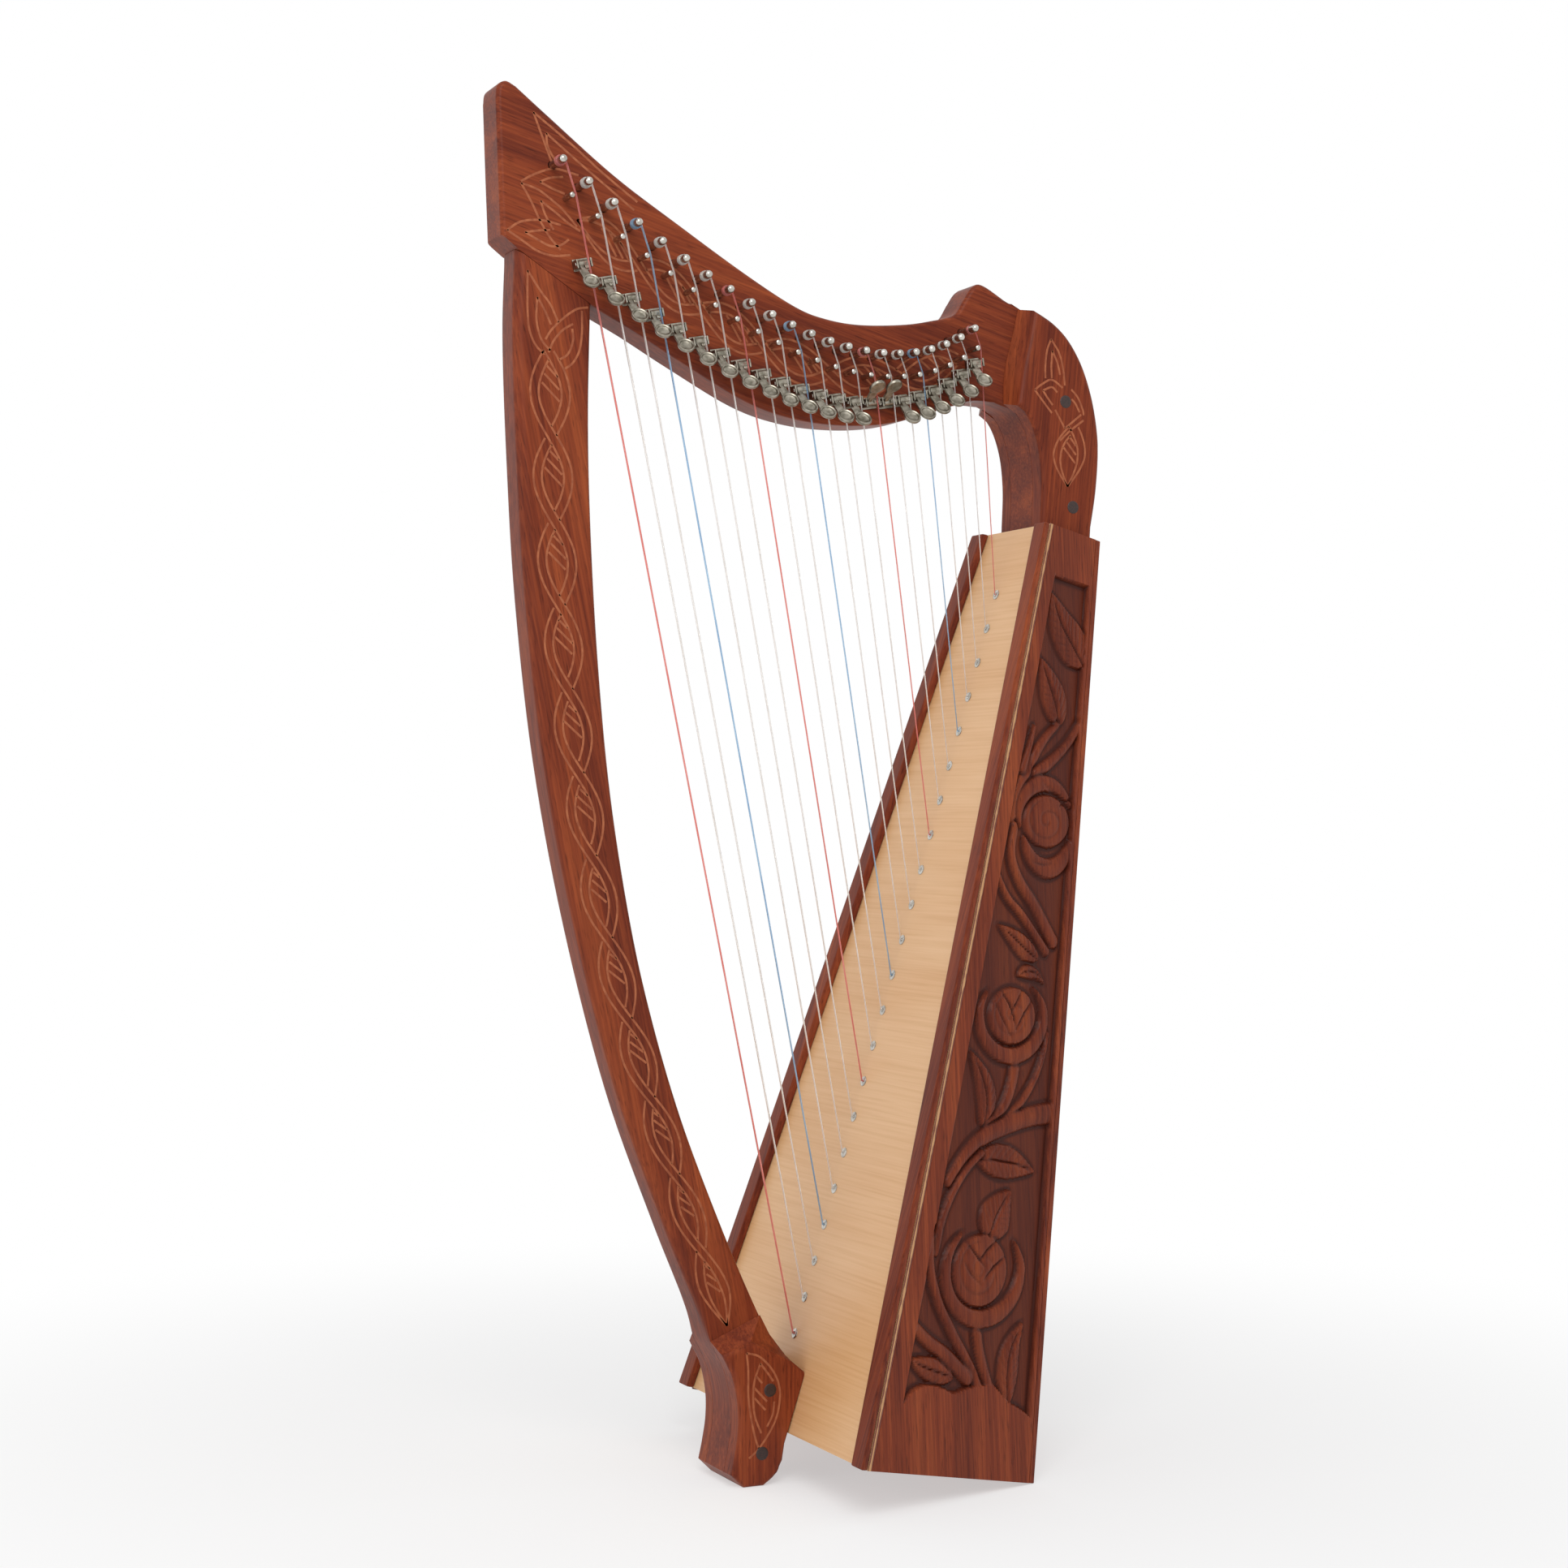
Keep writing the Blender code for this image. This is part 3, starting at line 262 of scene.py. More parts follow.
birch_edge, tree, shader = new_material("plywood_edge_with_stain", "#b98a5c", 0.5)
depth = add_node(tree, "ShaderNodeAttribute", attribute_name="grain")
layer = add_node(tree, "ShaderNodeSeparateXYZ", {0: depth.outputs["Vector"]}).outputs["Z"]
from_middle = add_node(tree, "ShaderNodeMath", {0: layer, 1: 1.5 * MM}, operation="ADD")
from_middle = add_node(tree, "ShaderNodeMath", {0: from_middle.outputs[0]}, operation="ABSOLUTE")
crept = grain_noise(tree, (30, 9, 9), detail=2.0)
limit = add_node(tree, "ShaderNodeMapRange", {"Value": crept, "From Min": 0.3, "From Max": 0.7,
                                              "To Min": 0.2 * MM, "To Max": 1.0 * MM})
stain = add_node(tree, "ShaderNodeMath", {0: from_middle.outputs[0], 1: limit.outputs[0]},
                 operation="GREATER_THAN")
edge_colour = mixed(tree, stain.outputs[0], linear("#b98a5c"), linear("#6a2e1c"))
tree.links.new(edge_colour, shader.inputs["Base Color"])
print("birch face and edge ready")

# %% [markdown]
# ## Cut lines, plugs, metal and strings
# The engraved lines cut through the stain, so bare wood shows in them, lighter and rougher. The plugs over
# the bolts are almost black. The fittings are nickel silver, a white metal of copper and nickel, tumbled
# rather than polished, so its reflections are soft and its colour varies a little. Strings are drawn nylon:
# clear ones look milky, and the C and F strings are dyed red and blue, so that the player finds the notes.

# %% Smaller materials
cut_wood, tree, shader = new_material("bare_wood_in_cut_lines", "#985538", 0.6, Specular_IOR_Level=0.2)
cut_tone = grain_noise(tree, (4, 3, 3), detail=1.0)
tree.links.new(ramp(tree, cut_tone, [(0.3, "#8a4a30"), (0.7, "#a4603f")]), shader.inputs["Base Color"])

dark_plug, tree, shader = new_material("dark_end_grain_plug", "#2a1712", 0.45)
plug_tone = grain_noise(tree, (2, 0.6, 0.6), detail=1.0)
tree.links.new(ramp(tree, plug_tone, [(0.3, "#1f110d"), (0.7, "#38201a")]), shader.inputs["Base Color"])


def metal(name, dark, light, roughness, spot):
    """a metal whose tone and polish vary over spots of this size in millimetres"""
    made, tree, shader = new_material(name, light, roughness, 1.0)
    place = add_node(tree, "ShaderNodeTexCoord").outputs["Object"]
    worn = add_node(tree, "ShaderNodeTexNoise", {"Vector": place, "Scale": 1.0 / (spot * MM), "Detail": 2.0})
    tree.links.new(ramp(tree, worn.outputs[0], [(0.35, dark), (0.65, light)]), shader.inputs["Base Color"])
    polish = add_node(tree, "ShaderNodeMapRange", {"Value": worn.outputs[0], "To Min": roughness * 0.75,
                                                   "To Max": roughness * 1.25})
    tree.links.new(polish.outputs[0], shader.inputs["Roughness"])
    return made


nickel_silver = metal("tumbled_nickel_silver", "#7c776a", "#a7a194", 0.34, 3.0)
nickel_steel = metal("nickel_plated_steel", "#a8a49c", "#cbc7bf", 0.22, 4.0)


def nylon(name, deep, bright):
    """drawn nylon, whose dye varies a little along the string"""
    made, tree, shader = new_material(name, bright, 0.3, Transmission_Weight=0.8, IOR=1.53)
    place = add_node(tree, "ShaderNodeTexCoord").outputs["Object"]
    tone = add_node(tree, "ShaderNodeTexNoise", {"Vector": place, "Scale": 1.0 / (25 * MM), "Detail": 1.0})
    tree.links.new(ramp(tree, tone.outputs[0], [(0.3, deep), (0.7, bright)]), shader.inputs["Base Color"])
    return made


clear_nylon = nylon("clear_nylon", "#efe9e3", "#f6f2ee")
red_nylon = nylon("red_dyed_nylon", "#e87a70", "#f29c94")
blue_nylon = nylon("blue_dyed_nylon", "#90b6da", "#b2d2ea")
print("materials so far:", len(bpy.data.materials))

# %% [markdown]
# ## From points to wood
# The harp's planks are flat boards with a sawn outline and rounded edges. A smooth curve through a few
# points gives the outline, and moving it inwards step by step gives the rounding. The points are those of
# the CAD model, in the harp's middle plane, and more steps between them make the edge look truly round.

# %% Outlines
def spots(text):
    """points from a text of numbers in pairs, in millimetres"""
    numbers = [float(number) for number in text.split()]
    return list(zip(numbers[::2], numbers[1::2]))


def spot_lines(text):
    """lines of points, one to each line of a text"""
    return [spots(line) for line in text.strip().splitlines()]


def smooth(points, steps):
    """points in metres on a smooth curve through an outline's points in millimetres"""
    through = [Vector((x * MM, z * MM)) for x, z in points]
    line = [through[0] * 2 - through[1], *through, through[-1] * 2 - through[-2]]
    curve = []
    for i in range(1, len(line) - 2):
        p0, p1, p2, p3 = line[i - 1:i + 3]
        for step in range(steps):
            t = step / steps
            curve.append(0.5 * (2 * p1 + (p2 - p0) * t + (2 * p0 - 5 * p1 + 4 * p2 - p3) * t * t
                                + (3 * p1 - p0 - 3 * p2 + p3) * t * t * t))
    return curve + [through[-1]]


def joined(*runs):
    """one closed outline, its inside on the left, from runs that share their end points"""
    outline = []
    for point in (point for run in runs for point in run):
        if not outline or (point - outline[-1]).length > 1e-6:
            outline.append(point)
    if (outline[0] - outline[-1]).length < 1e-6:
        outline.pop()
    area = sum(a.x * b.y - b.x * a.y for a, b in zip(outline, outline[1:] + outline[:1]))
    return outline if area > 0 else outline[::-1]


UNFOLDING_PASSES = 8


def inset(outline, amounts):
    """the outline moved inwards, by an amount for the edge that starts at each point; points that would pass
    each other meet halfway"""
    inner = []
    for i, b in enumerate(outline):
        a, c = outline[i - 1], outline[(i + 1) % len(outline)]
        first, second = (b - a).normalized(), (c - b).normalized()
        n1, n2 = Vector((-first.y, first.x)), Vector((-second.y, second.x))
        d1, d2 = amounts[i - 1], amounts[i]
        cross = first.x * second.y - first.y * second.x
        if d1 == d2 or abs(cross) < 0.6:
            inner.append(b + (n1 + n2) / (1 + n1.dot(n2)) * (d1 + d2) / 2)
            continue
        start, other = b + n1 * d1, b + n2 * d2
        along = ((other - start).x * second.y - (other - start).y * second.x) / cross
        inner.append(start + first * along)
    for _ in range(UNFOLDING_PASSES):
        for i in range(len(inner)):
            j = (i + 1) % len(inner)
            if (inner[j] - inner[i]).dot(outline[j] - outline[i]) < 0:
                inner[i] = inner[j] = (inner[i] + inner[j]) / 2
    return inner


def close_rings(bm, rings):
    """a closed skin over rings of equal length"""
    for low, high in zip(rings, rings[1:]):
        for k in range(len(low)):
            m = (k + 1) % len(low)
            bm.faces.new((low[k], low[m], high[m], high[k]))
    bm.faces.new(rings[0][::-1])
    bm.faces.new(rings[-1])


def layered_plate(layers):
    """a closed plate from outlines of equal length, each at its own y"""
    bm = bmesh.new()
    close_rings(bm, [[bm.verts.new((p.x, y, p.y)) for p in outline] for y, outline in layers])
    bmesh.ops.remove_doubles(bm, verts=bm.verts, dist=0.001 * MM)
    return bm


# %% Finished pieces
ALONG_Y = Vector((0, 1, 0))
SMOOTH_ANGLE = math.radians(32)


def lay_grain(mesh, along, depth, shift=0.0):
    """the grain attribute: how far each point lies along, across and into the wood"""
    along, depth = along.normalized(), depth.normalized()
    axes = np.array([along, depth.cross(along), depth])
    points = np.zeros(len(mesh.vertices) * 3, np.float32)
    mesh.vertices.foreach_get("co", points)
    grain = points.reshape(-1, 3) @ axes.T + np.array([shift, shift * 0.37, 0.0])
    made = mesh.attributes.get("grain") or mesh.attributes.new("grain", "FLOAT_VECTOR", "POINT")
    made.data.foreach_set("vector", grain.astype(np.float32).ravel())


def as_object(name, bm, skin):
    """an object from a bmesh, its faces outwards"""
    bmesh.ops.recalc_face_normals(bm, faces=bm.faces)
    mesh = bpy.data.meshes.new(name)
    bm.to_mesh(mesh)
    bm.free()
    mesh.materials.append(skin)
    made = bpy.data.objects.new(name, mesh)
    bpy.context.collection.objects.link(made)
    return made


def plain_mesh(thing):
    """the object with its modifiers made real"""
    bpy.context.view_layer.update()
    graph = bpy.context.evaluated_depsgraph_get()
    mesh = bpy.data.meshes.new_from_object(thing.evaluated_get(graph))
    thing.modifiers.clear()
    thing.data = mesh
    return thing


def combine(target, tool, operation):
    """an exact Boolean of two objects, after which the tool is gone"""
    modifier = target.modifiers.new(operation.lower(), "BOOLEAN")
    modifier.operation = operation
    modifier.object = tool
    plain_mesh(target)
    bpy.data.objects.remove(tool, do_unlink=True)
    return target


def finish(thing, nodes=(), body="frame"):
    """smooth shading that keeps large faces flat, the CAD nodes that the piece stands for, and its body"""
    thing.data.shade_smooth()
    thing.data.set_sharp_from_angle(angle=SMOOTH_ANGLE)
    flat = thing.modifiers.new("flat_faces", "WEIGHTED_NORMAL")
    flat.keep_sharp = True
    plain_mesh(thing)
    if nodes:
        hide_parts(*nodes)
    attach(thing, body)
    return thing


def wooden(thing, along, depth, shift, *nodes):
    """a finished piece of stained wood; each has its own shift, so that no two show the same streaks"""
    lay_grain(thing.data, along, depth, shift)
    finish(thing, nodes)
    print(thing.name, "has", len(thing.data.polygons), "faces")
    return thing


# %% [markdown]
# ## The planes of the sound box
# The sound box is a tall wedge with flat sides: a leaning soundboard, a back that leans less, and two sides
# that draw together towards the top. Each flat side is one plane, kept as a point on it and the way out.

# %% Planes
BOARD_FOOT_X = -28.5 * MM
BOARD_LEAN = math.radians(17.23)
BACK_FOOT_X = 113.3 * MM
BACK_LEAN = math.radians(8.27)
BASE_SLOPE = math.radians(12.76)
TOP_SLOPE = math.radians(10.1)
BOX_TOP_Z = 582.0 * MM
BOARD_THICKNESS = 3.0 * MM
SEAT_GAP = 0.3 * MM


def board_point(z):
    """the point of the board's front face at a height, in the middle plane"""
    return Vector((BOARD_FOOT_X + z * math.tan(BOARD_LEAN), 0, z))


board_plane = (Vector((BOARD_FOOT_X, 0, 0)), Vector((-math.cos(BOARD_LEAN), 0, math.sin(BOARD_LEAN))))
back_plane = (Vector((BACK_FOOT_X, 0, 0)), Vector((math.cos(BACK_LEAN), 0, -math.sin(BACK_LEAN))))
base_plane = (Vector((BACK_FOOT_X, 0, 0)), Vector((-math.sin(BASE_SLOPE), 0, -math.cos(BASE_SLOPE))))
top_plane = (board_point(BOX_TOP_Z), Vector((math.sin(TOP_SLOPE), 0, math.cos(TOP_SLOPE))))
board_up = Vector((math.sin(BOARD_LEAN), 0, math.cos(BOARD_LEAN)))
back_up = Vector((math.sin(BACK_LEAN), 0, math.cos(BACK_LEAN)))


def side_plane(side):
    """the outer plane of a side panel, side -1 for the near one"""
    low = board_point(30.0 * MM) + Vector((0, side * 130.0 * MM, 0))
    high = board_point(BOX_TOP_Z) + Vector((0, side * 45.0 * MM, 0))
    back = Vector((BACK_FOOT_X, side * 90.0 * MM, 0))
    way = (high - low).cross(back - low).normalized()
    return low, way if way.y * side > 0 else -way


def moved(plane, distance):
    """the plane moved outwards"""
    return plane[0] + plane[1] * distance, plane[1]


def facing_in(plane, distance=0.0):
    """the plane moved outwards and turned to face inwards"""
    return plane[0] + plane[1] * distance, -plane[1]


def cut_solid(planes):
    """the solid that is left of a large block inside all planes"""
    bm = bmesh.new()
    bmesh.ops.create_cube(bm, size=2.0)
    for point, way in planes:
        everything = bm.verts[:] + bm.edges[:] + bm.faces[:]
        result = bmesh.ops.bisect_plane(bm, geom=everything, plane_co=point, plane_no=way, clear_outer=True)
        edges = [part for part in result["geom_cut"] if isinstance(part, bmesh.types.BMEdge)]
        bmesh.ops.contextual_create(bm, geom=edges)
    return bm


FINE_SANDING = 0.4 * MM


def eased(thing, width):
    """the piece with its sharp edges sanded off"""
    bevel = thing.modifiers.new("sanded", "BEVEL")
    bevel.width = width
    bevel.segments = 2
    bevel.limit_method = "ANGLE"
    return plain_mesh(thing)


near_side, far_side = side_plane(-1), side_plane(1)
print("near side faces", [round(v, 3) for v in near_side[1]])

# %% [markdown]
# ## Trims, base, top and back
# Two dark strips cover the soundboard's long edges. The base board and the top block close the box, and the
# back has three oval holes through which a hand reaches the knots of the strings. All are flat boards, so
# they are cut from a block by their planes and then lose their sharp edges, as sandpaper does it.

# %% Trims, base and top
TRIM_THICKNESS = 4.5 * MM
TRIM_WIDTH = 13.0 * MM
BACK_THICKNESS = 4.0 * MM
SIDE_THICKNESS = 10.0 * MM
BASE_THICKNESS = 16.0 * MM
TOP_BLOCK_HEIGHT = 25.0 * MM

for name, plane in (("near", near_side), ("far", far_side)):
    strip = cut_solid([moved(board_plane, SEAT_GAP + TRIM_THICKNESS), facing_in(board_plane, SEAT_GAP), plane,
                       facing_in(plane, -TRIM_WIDTH), top_plane, base_plane])
    trim = eased(as_object("edge_trim_strip_" + name, strip, stained_wood), 1.0 * MM)
    wooden(trim, board_up, board_plane[1], 0.31 if name == "near" else 0.83, "edge_trim_" + name)


def inside_walls(extra):
    """a solid between the board, the back and the two side panels"""
    walls = [moved(plane, -SIDE_THICKNESS - SEAT_GAP) for plane in (near_side, far_side)]
    front = moved(board_plane, -BOARD_THICKNESS - SEAT_GAP)
    rear = moved(back_plane, -BACK_THICKNESS - SEAT_GAP)
    return cut_solid([front, rear, *walls, *extra])


for name, plane, thickness, shift in (("base_board", base_plane, BASE_THICKNESS, 1.4),
                                      ("top_block", top_plane, TOP_BLOCK_HEIGHT, 1.9)):
    piece = as_object(name + "_eased", inside_walls([plane, facing_in(plane, -thickness)]), stained_wood)
    wooden(eased(piece, FINE_SANDING), ALONG_Y, plane[1], shift, name)

# %% Back with its sound holes
HOLE_HEIGHTS = (150.0 * MM, 290.0 * MM, 420.0 * MM)
HOLE_HALF_WIDTHS = (40.0 * MM, 31.0 * MM, 22.0 * MM)
HOLE_HALF_LENGTH = 44.0 * MM

board = cut_solid([back_plane, facing_in(back_plane, -BACK_THICKNESS), near_side, far_side, top_plane,
                   base_plane])
back = as_object("back_board", board, stained_wood)
ovals = bmesh.new()
for height, half_width in zip(HOLE_HEIGHTS, HOLE_HALF_WIDTHS):
    turn = Matrix((ALONG_Y, back_up, back_plane[1])).transposed().to_4x4()
    size = Matrix.Diagonal((half_width, HOLE_HALF_LENGTH, 1.0, 1.0))
    place = Matrix.Translation(back_plane[0] + back_up * height) @ turn @ size
    bmesh.ops.create_cone(ovals, cap_ends=True, segments=72, radius1=1.0, radius2=1.0,
                          depth=4 * BACK_THICKNESS, matrix=place)
combine(back, as_object("oval_cutters", ovals, stained_wood), "DIFFERENCE")
wooden(eased(back, 0.5 * MM), back_up, back_plane[1], 2.7, "back_panel")

# %% [markdown]
# ## Side panels
# Each side is one board with a sunk field, and carved roses and leaves stand up in that field as high as the
# panel's face. Carving is a relief, so a fine grid whose points only move in and out can hold it.

# %% The panel's own flat coordinates
def panel_axes(side):
    """the panel's zero point and its ways back, up and out, so that millimetres can be laid on it"""
    start, out = near_side if side < 0 else far_side
    up = (Vector((0, 0, 1)) - out * out.z).normalized()
    back = up.cross(out) * -side
    zero = start + (Vector((BOARD_FOOT_X, 0, 0)) - start).dot(back) * back - start.z / up.z * up
    return zero, back, up, out


def meet(*planes):
    """the point where three planes meet"""
    rows = np.array([plane[1] for plane in planes])
    return Vector(np.linalg.solve(rows, [plane[0].dot(plane[1]) for plane in planes]))


print("near panel, up and back:", *([round(v, 3) for v in way] for way in panel_axes(-1)[2:0:-1]))

# %% [markdown]
# ## The carving's motifs
# Everything in the sunk field is a strip along a line or an oval. A leaf is a strip that swells and closes
# again, with a cut rib and side veins. A stem is a slim strip, a bud is an oval, and the cup that holds a bud
# is a crescent, so again a strip, bent round the bud. Points are millimetres back and up on the panel.

# %% Motifs
FIELD_CORNERS = spots("160.9 551  -7.5 40  107.4 36  193.6 545.8")
LOWER_BORDER = spots("-8 54  6.5 67.5  20 70.5  32 68  43 62.6  57 64.5  68 64  77 63  88 52  102 43.4 "
                     "114 34")
# each leaf: its middle line from base to tip, and its greatest half width
LEAVES = [(spots("186 494  178 506  167 521  158 541"), 14.5),
          (spots("160.5 455  158.5 470  153 484  145.5 500"), 11.5),
          (spots("133 312.5  124 318.5  112.5 327  98.5 336"), 7.5),
          (spots("78 213  82.5 230  79.5 245  69.5 262.5"), 8.5),
          (spots("71.5 196.5  89 194.5  106 190.5  122.5 184.5"), 11),
          (spots("78 147  84 158  90 166  99.5 176.5"), 14),
          (spots("89 48.5  90.5 66  95 82  106.5 97"), 9.5),
          (spots("45 71.5  33 76.5  20.5 81.5  7.5 88"), 8.5),
          (spots("114 304  122 306  131 304  139 297"), 5)]
# each stem: its middle line, and its half width at both ends
STEMS = [(spots("159 457  148 449  137 437.5  124 420  117 400"), 3, 6),
         (spots("184 462  170 447  155 436  139 427"), 3, 5),
         (spots("138 456  133 444  126 430"), 2, 4),
         (spots("117 395  113 378  119 362  132 346  147 324"), 3.5, 5.5),
         (spots("101 392  98 372  107 353  121 340  140 318"), 2.5, 4),
         (spots("109.5 254  105 239  97 226  84 215  66 204"), 5, 4),
         (spots("138.5 268  131.5 250  119.5 234  103 220.5  86 212.5"), 2.5, 4),
         (spots("141 219  122 218.5  101 215  78 209  62 200  47 186"), 7.5, 4.5),
         (spots("76 200  62 191  50 179  40 164  33 146"), 3, 4),
         (spots("30 158  29 138  34 119  44.5 99  57 79  67 60"), 4, 4.5),
         (spots("66 101  67 87  70.5 73  76 58"), 4.5, 4.5),
         (spots("9 110  24 96  39 85.5  56 70"), 4.5, 5.5)]
# each cup: an arc of an ellipse round a bud, from and to in degrees, and its greatest half width
CUPS = [((145.5, 397.0), (24.5, 24.0), 20.0, 190.0, 6.0), ((146.0, 394.0), (22.0, 25.5), 190.0, 345.0, 7.0),
        ((107.5, 280.0), (28.5, 24.0), 135.0, 405.0, 6.0), ((74.0, 131.0), (32.5, 28.5), 120.0, 392.0, 6.5)]
BUDS = [((145.5, 397.5), (22.0, 17.0)), ((107.5, 280.0), (21.5, 18.0)), ((70.5, 131.0), (24.0, 22.0))]
# each cut: a line and its depth, for the petals' edges and the dark notches
CUTS = [(spots("158 407  164 409.5  171 412.5"), 2.2),
        (spots("153 381  160 382.5  167 386.5"), 2.2),
        (spots("143 421  150 417  158 413"), 0.9),
        (spots("128 374  139 371  150 372"), 0.8),
        (spots("98 296  106 285  110 272"), 1.6),
        (spots("118 296  110.5 287  104 279"), 1.3),
        (spots("125 288  116 279  110 272"), 1.6),
        (spots("92 290  98 279  105 268"), 1.1),
        (spots("60 149  67 141  74 133"), 1.4),
        (spots("70.6 137.8  77 142.5  85.5 147"), 1.7),
        (spots("72.8 126  82 132  92 137"), 1.7),
        (spots("56 139  62 130  70 123"), 1)]
print(len(LEAVES), "leaves,", len(STEMS), "stems and", len(BUDS), "buds")

# %% [markdown]
# ## From motifs to heights
# The carver first lowers the field, then cuts round each shape and rounds it over. The same order works here
# with numbers: each shape is laid on what is there already, with a narrow cut round it. The darkness is worked
# out from the heights too: the field, its low ground and its hollows are darker, partly for the stain and
# varnish that gather there and partly as painted shade, where the light doesn't reach.

# %% Relief
FIELD_DEPTH = 3.2
SHAPE_RIM = 1.8
ROUND_CUT_WIDTH = 1.3
ROUND_CUT_DEPTH = 1.3
RIB_CUT_WIDTH = 0.9
VEIN_PITCH = 5.0
DEEPEST = -FIELD_DEPTH - 0.3


def eased_step(share):
    """a soft step from 0 to 1"""
    share = np.clip(share, 0, 1)
    return share * share * (3 - 2 * share)


def along_line(a, b, line, steps=7):
    """for each spot its distance from a line, on the line's left or right, and the share along the line"""
    path = np.array([p / MM for p in smooth(line, steps)])
    nearest, side, share = np.full(a.shape, 1e9), np.zeros_like(a), np.zeros_like(a)
    for k, (start, end) in enumerate(zip(path, path[1:])):
        way, reach = (end - start) / np.linalg.norm(end - start), np.linalg.norm(end - start)
        t = np.clip((a - start[0]) * way[0] + (b - start[1]) * way[1], 0, reach)
        da, db = a - start[0] - way[0] * t, b - start[1] - way[1] * t
        distance = np.hypot(da, db)
        closer = distance < nearest
        nearest = np.where(closer, distance, nearest)
        side = np.where(closer, np.sign(way[0] * db - way[1] * da), side)
        share = np.where(closer, (k + t / reach) / (len(path) - 1), share)
    return nearest, side, share


def laid(height, inside, surface):
    """a shape laid on the carving: a narrow cut round it, then its own surface behind a rounded rim"""
    cut = ROUND_CUT_DEPTH * np.exp(-(np.minimum(inside, 0) / ROUND_CUT_WIDTH) ** 2)
    around = np.maximum(height - cut, DEEPEST)
    return np.where(inside > 0, around + (surface - around) * eased_step(inside / SHAPE_RIM), around)


def with_leaf(height, a, b, line, half_width):
    """the carving with a leaf on it: one side lower than the other, a cut rib and side veins"""
    distance, side, share = along_line(a, b, line)
    edge = half_width * np.sin(math.pi * np.clip(share, 0.001, 0.999) ** 0.8) ** 0.8
    across = distance / np.maximum(edge, 0.1)
    surface = -0.3 - 0.9 * across ** 2 - 0.8 * np.sin(math.pi * share) * (side > 0)
    surface -= 1.3 * np.exp(-(distance / RIB_CUT_WIDTH) ** 2) * eased_step((1 - share) * 5)
    reach = share * np.hypot(line[-1][0] - line[0][0], line[-1][1] - line[0][1])
    veins = np.cos(2 * math.pi * (reach - 0.9 * distance) / VEIN_PITCH)
    surface -= 0.35 * np.clip(veins, 0, 1) ** 2 * (across > 0.15) * (across < 0.85)
    return laid(height, np.where((share > 0) & (share < 1), edge - distance, -distance), surface)


def with_stem(height, a, b, line, first, last):
    """the carving with a rounded stem on it"""
    distance, side, share = along_line(a, b, line)
    half_width = first + (last - first) * share
    surface = -0.4 - 1.1 * (distance / half_width) ** 2 - 0.5 * (side > 0) * distance / half_width
    return laid(height, half_width - distance, surface)


def with_cup(height, a, b, middle, reach, start, end, half_width):
    """the carving with a crescent on it, bent round a bud"""
    turns = np.radians(np.linspace(start, end, 9))
    line = [(middle[0] + reach[0] * math.cos(t), middle[1] + reach[1] * math.sin(t)) for t in turns]
    distance, side, share = along_line(a, b, line, 4)
    edge = half_width * np.sin(math.pi * np.clip(share, 0.001, 0.999)) ** 0.5
    surface = -0.5 - 1.0 * (distance / np.maximum(edge, 0.1)) ** 2
    return laid(height, edge - distance, surface)


def with_bud(height, a, b, middle, reach):
    """the carving with a bud on it, whose petals wind outwards"""
    u, v = (a - middle[0]) / reach[0], (b - middle[1]) / reach[1]
    far = np.hypot(u, v)
    swirl = np.cos(2 * math.pi * (2.1 * far + np.arctan2(v, u) / (2 * math.pi)))
    surface = -0.2 - 1.0 * far ** 2 - 0.45 * np.clip(swirl, 0, 1) ** 3 * (far < 0.8)
    return laid(height, (1 - far) * min(reach), surface)


def relief(a, b):
    """the carving's height over the panel's face and its darkness, for spots in millimetres back and up"""
    inside = np.full(a.shape, 1e9)
    for start, end in zip(FIELD_CORNERS, FIELD_CORNERS[1:] + FIELD_CORNERS[:1]):
        way = np.array(end) - np.array(start)
        inside = np.minimum(inside, ((b - start[1]) * way[0] - (a - start[0]) * way[1]) / np.linalg.norm(way))
    border = np.array([p / MM for p in smooth(LOWER_BORDER, 6)])
    inside = np.minimum(inside, 0.85 * (b - np.interp(a, border[:, 0], border[:, 1])))
    height = -FIELD_DEPTH * eased_step(inside / 1.6)
    carving = height
    for line, half_width in LEAVES:
        carving = with_leaf(carving, a, b, line, half_width)
    for line, first, last in STEMS:
        carving = with_stem(carving, a, b, line, first, last)
    for cup in CUPS:
        carving = with_cup(carving, a, b, *cup)
    for middle, reach in BUDS:
        carving = with_bud(carving, a, b, middle, reach)
    for line, depth in CUTS:
        distance, side, share = along_line(a, b, line)
        carving = carving - depth * np.exp(-(distance / 1.0) ** 2) * (0.35 + 0.65 * np.sin(math.pi * share))
    height = np.where(inside > 0, np.maximum(carving, DEEPEST), height)
    # the darkness: a little over the whole field, more on low ground and most in hollows, for gathered stain
    # and for painted shade
    around = height
    for axis in (0, 1):
        around = sum(np.roll(around, shift, axis) for shift in range(-3, 4)) / 7
    hollows = np.clip((around - height) / 1.1, 0, 1)
    low = np.clip(-height / FIELD_DEPTH, 0, 1)
    return height, np.clip(0.12 * (inside > 0) + 0.5 * low + 0.75 * hollows, 0, 1) * (inside > -1.5)


# %% Carved panels
PANEL_STEP = 1.0 * MM


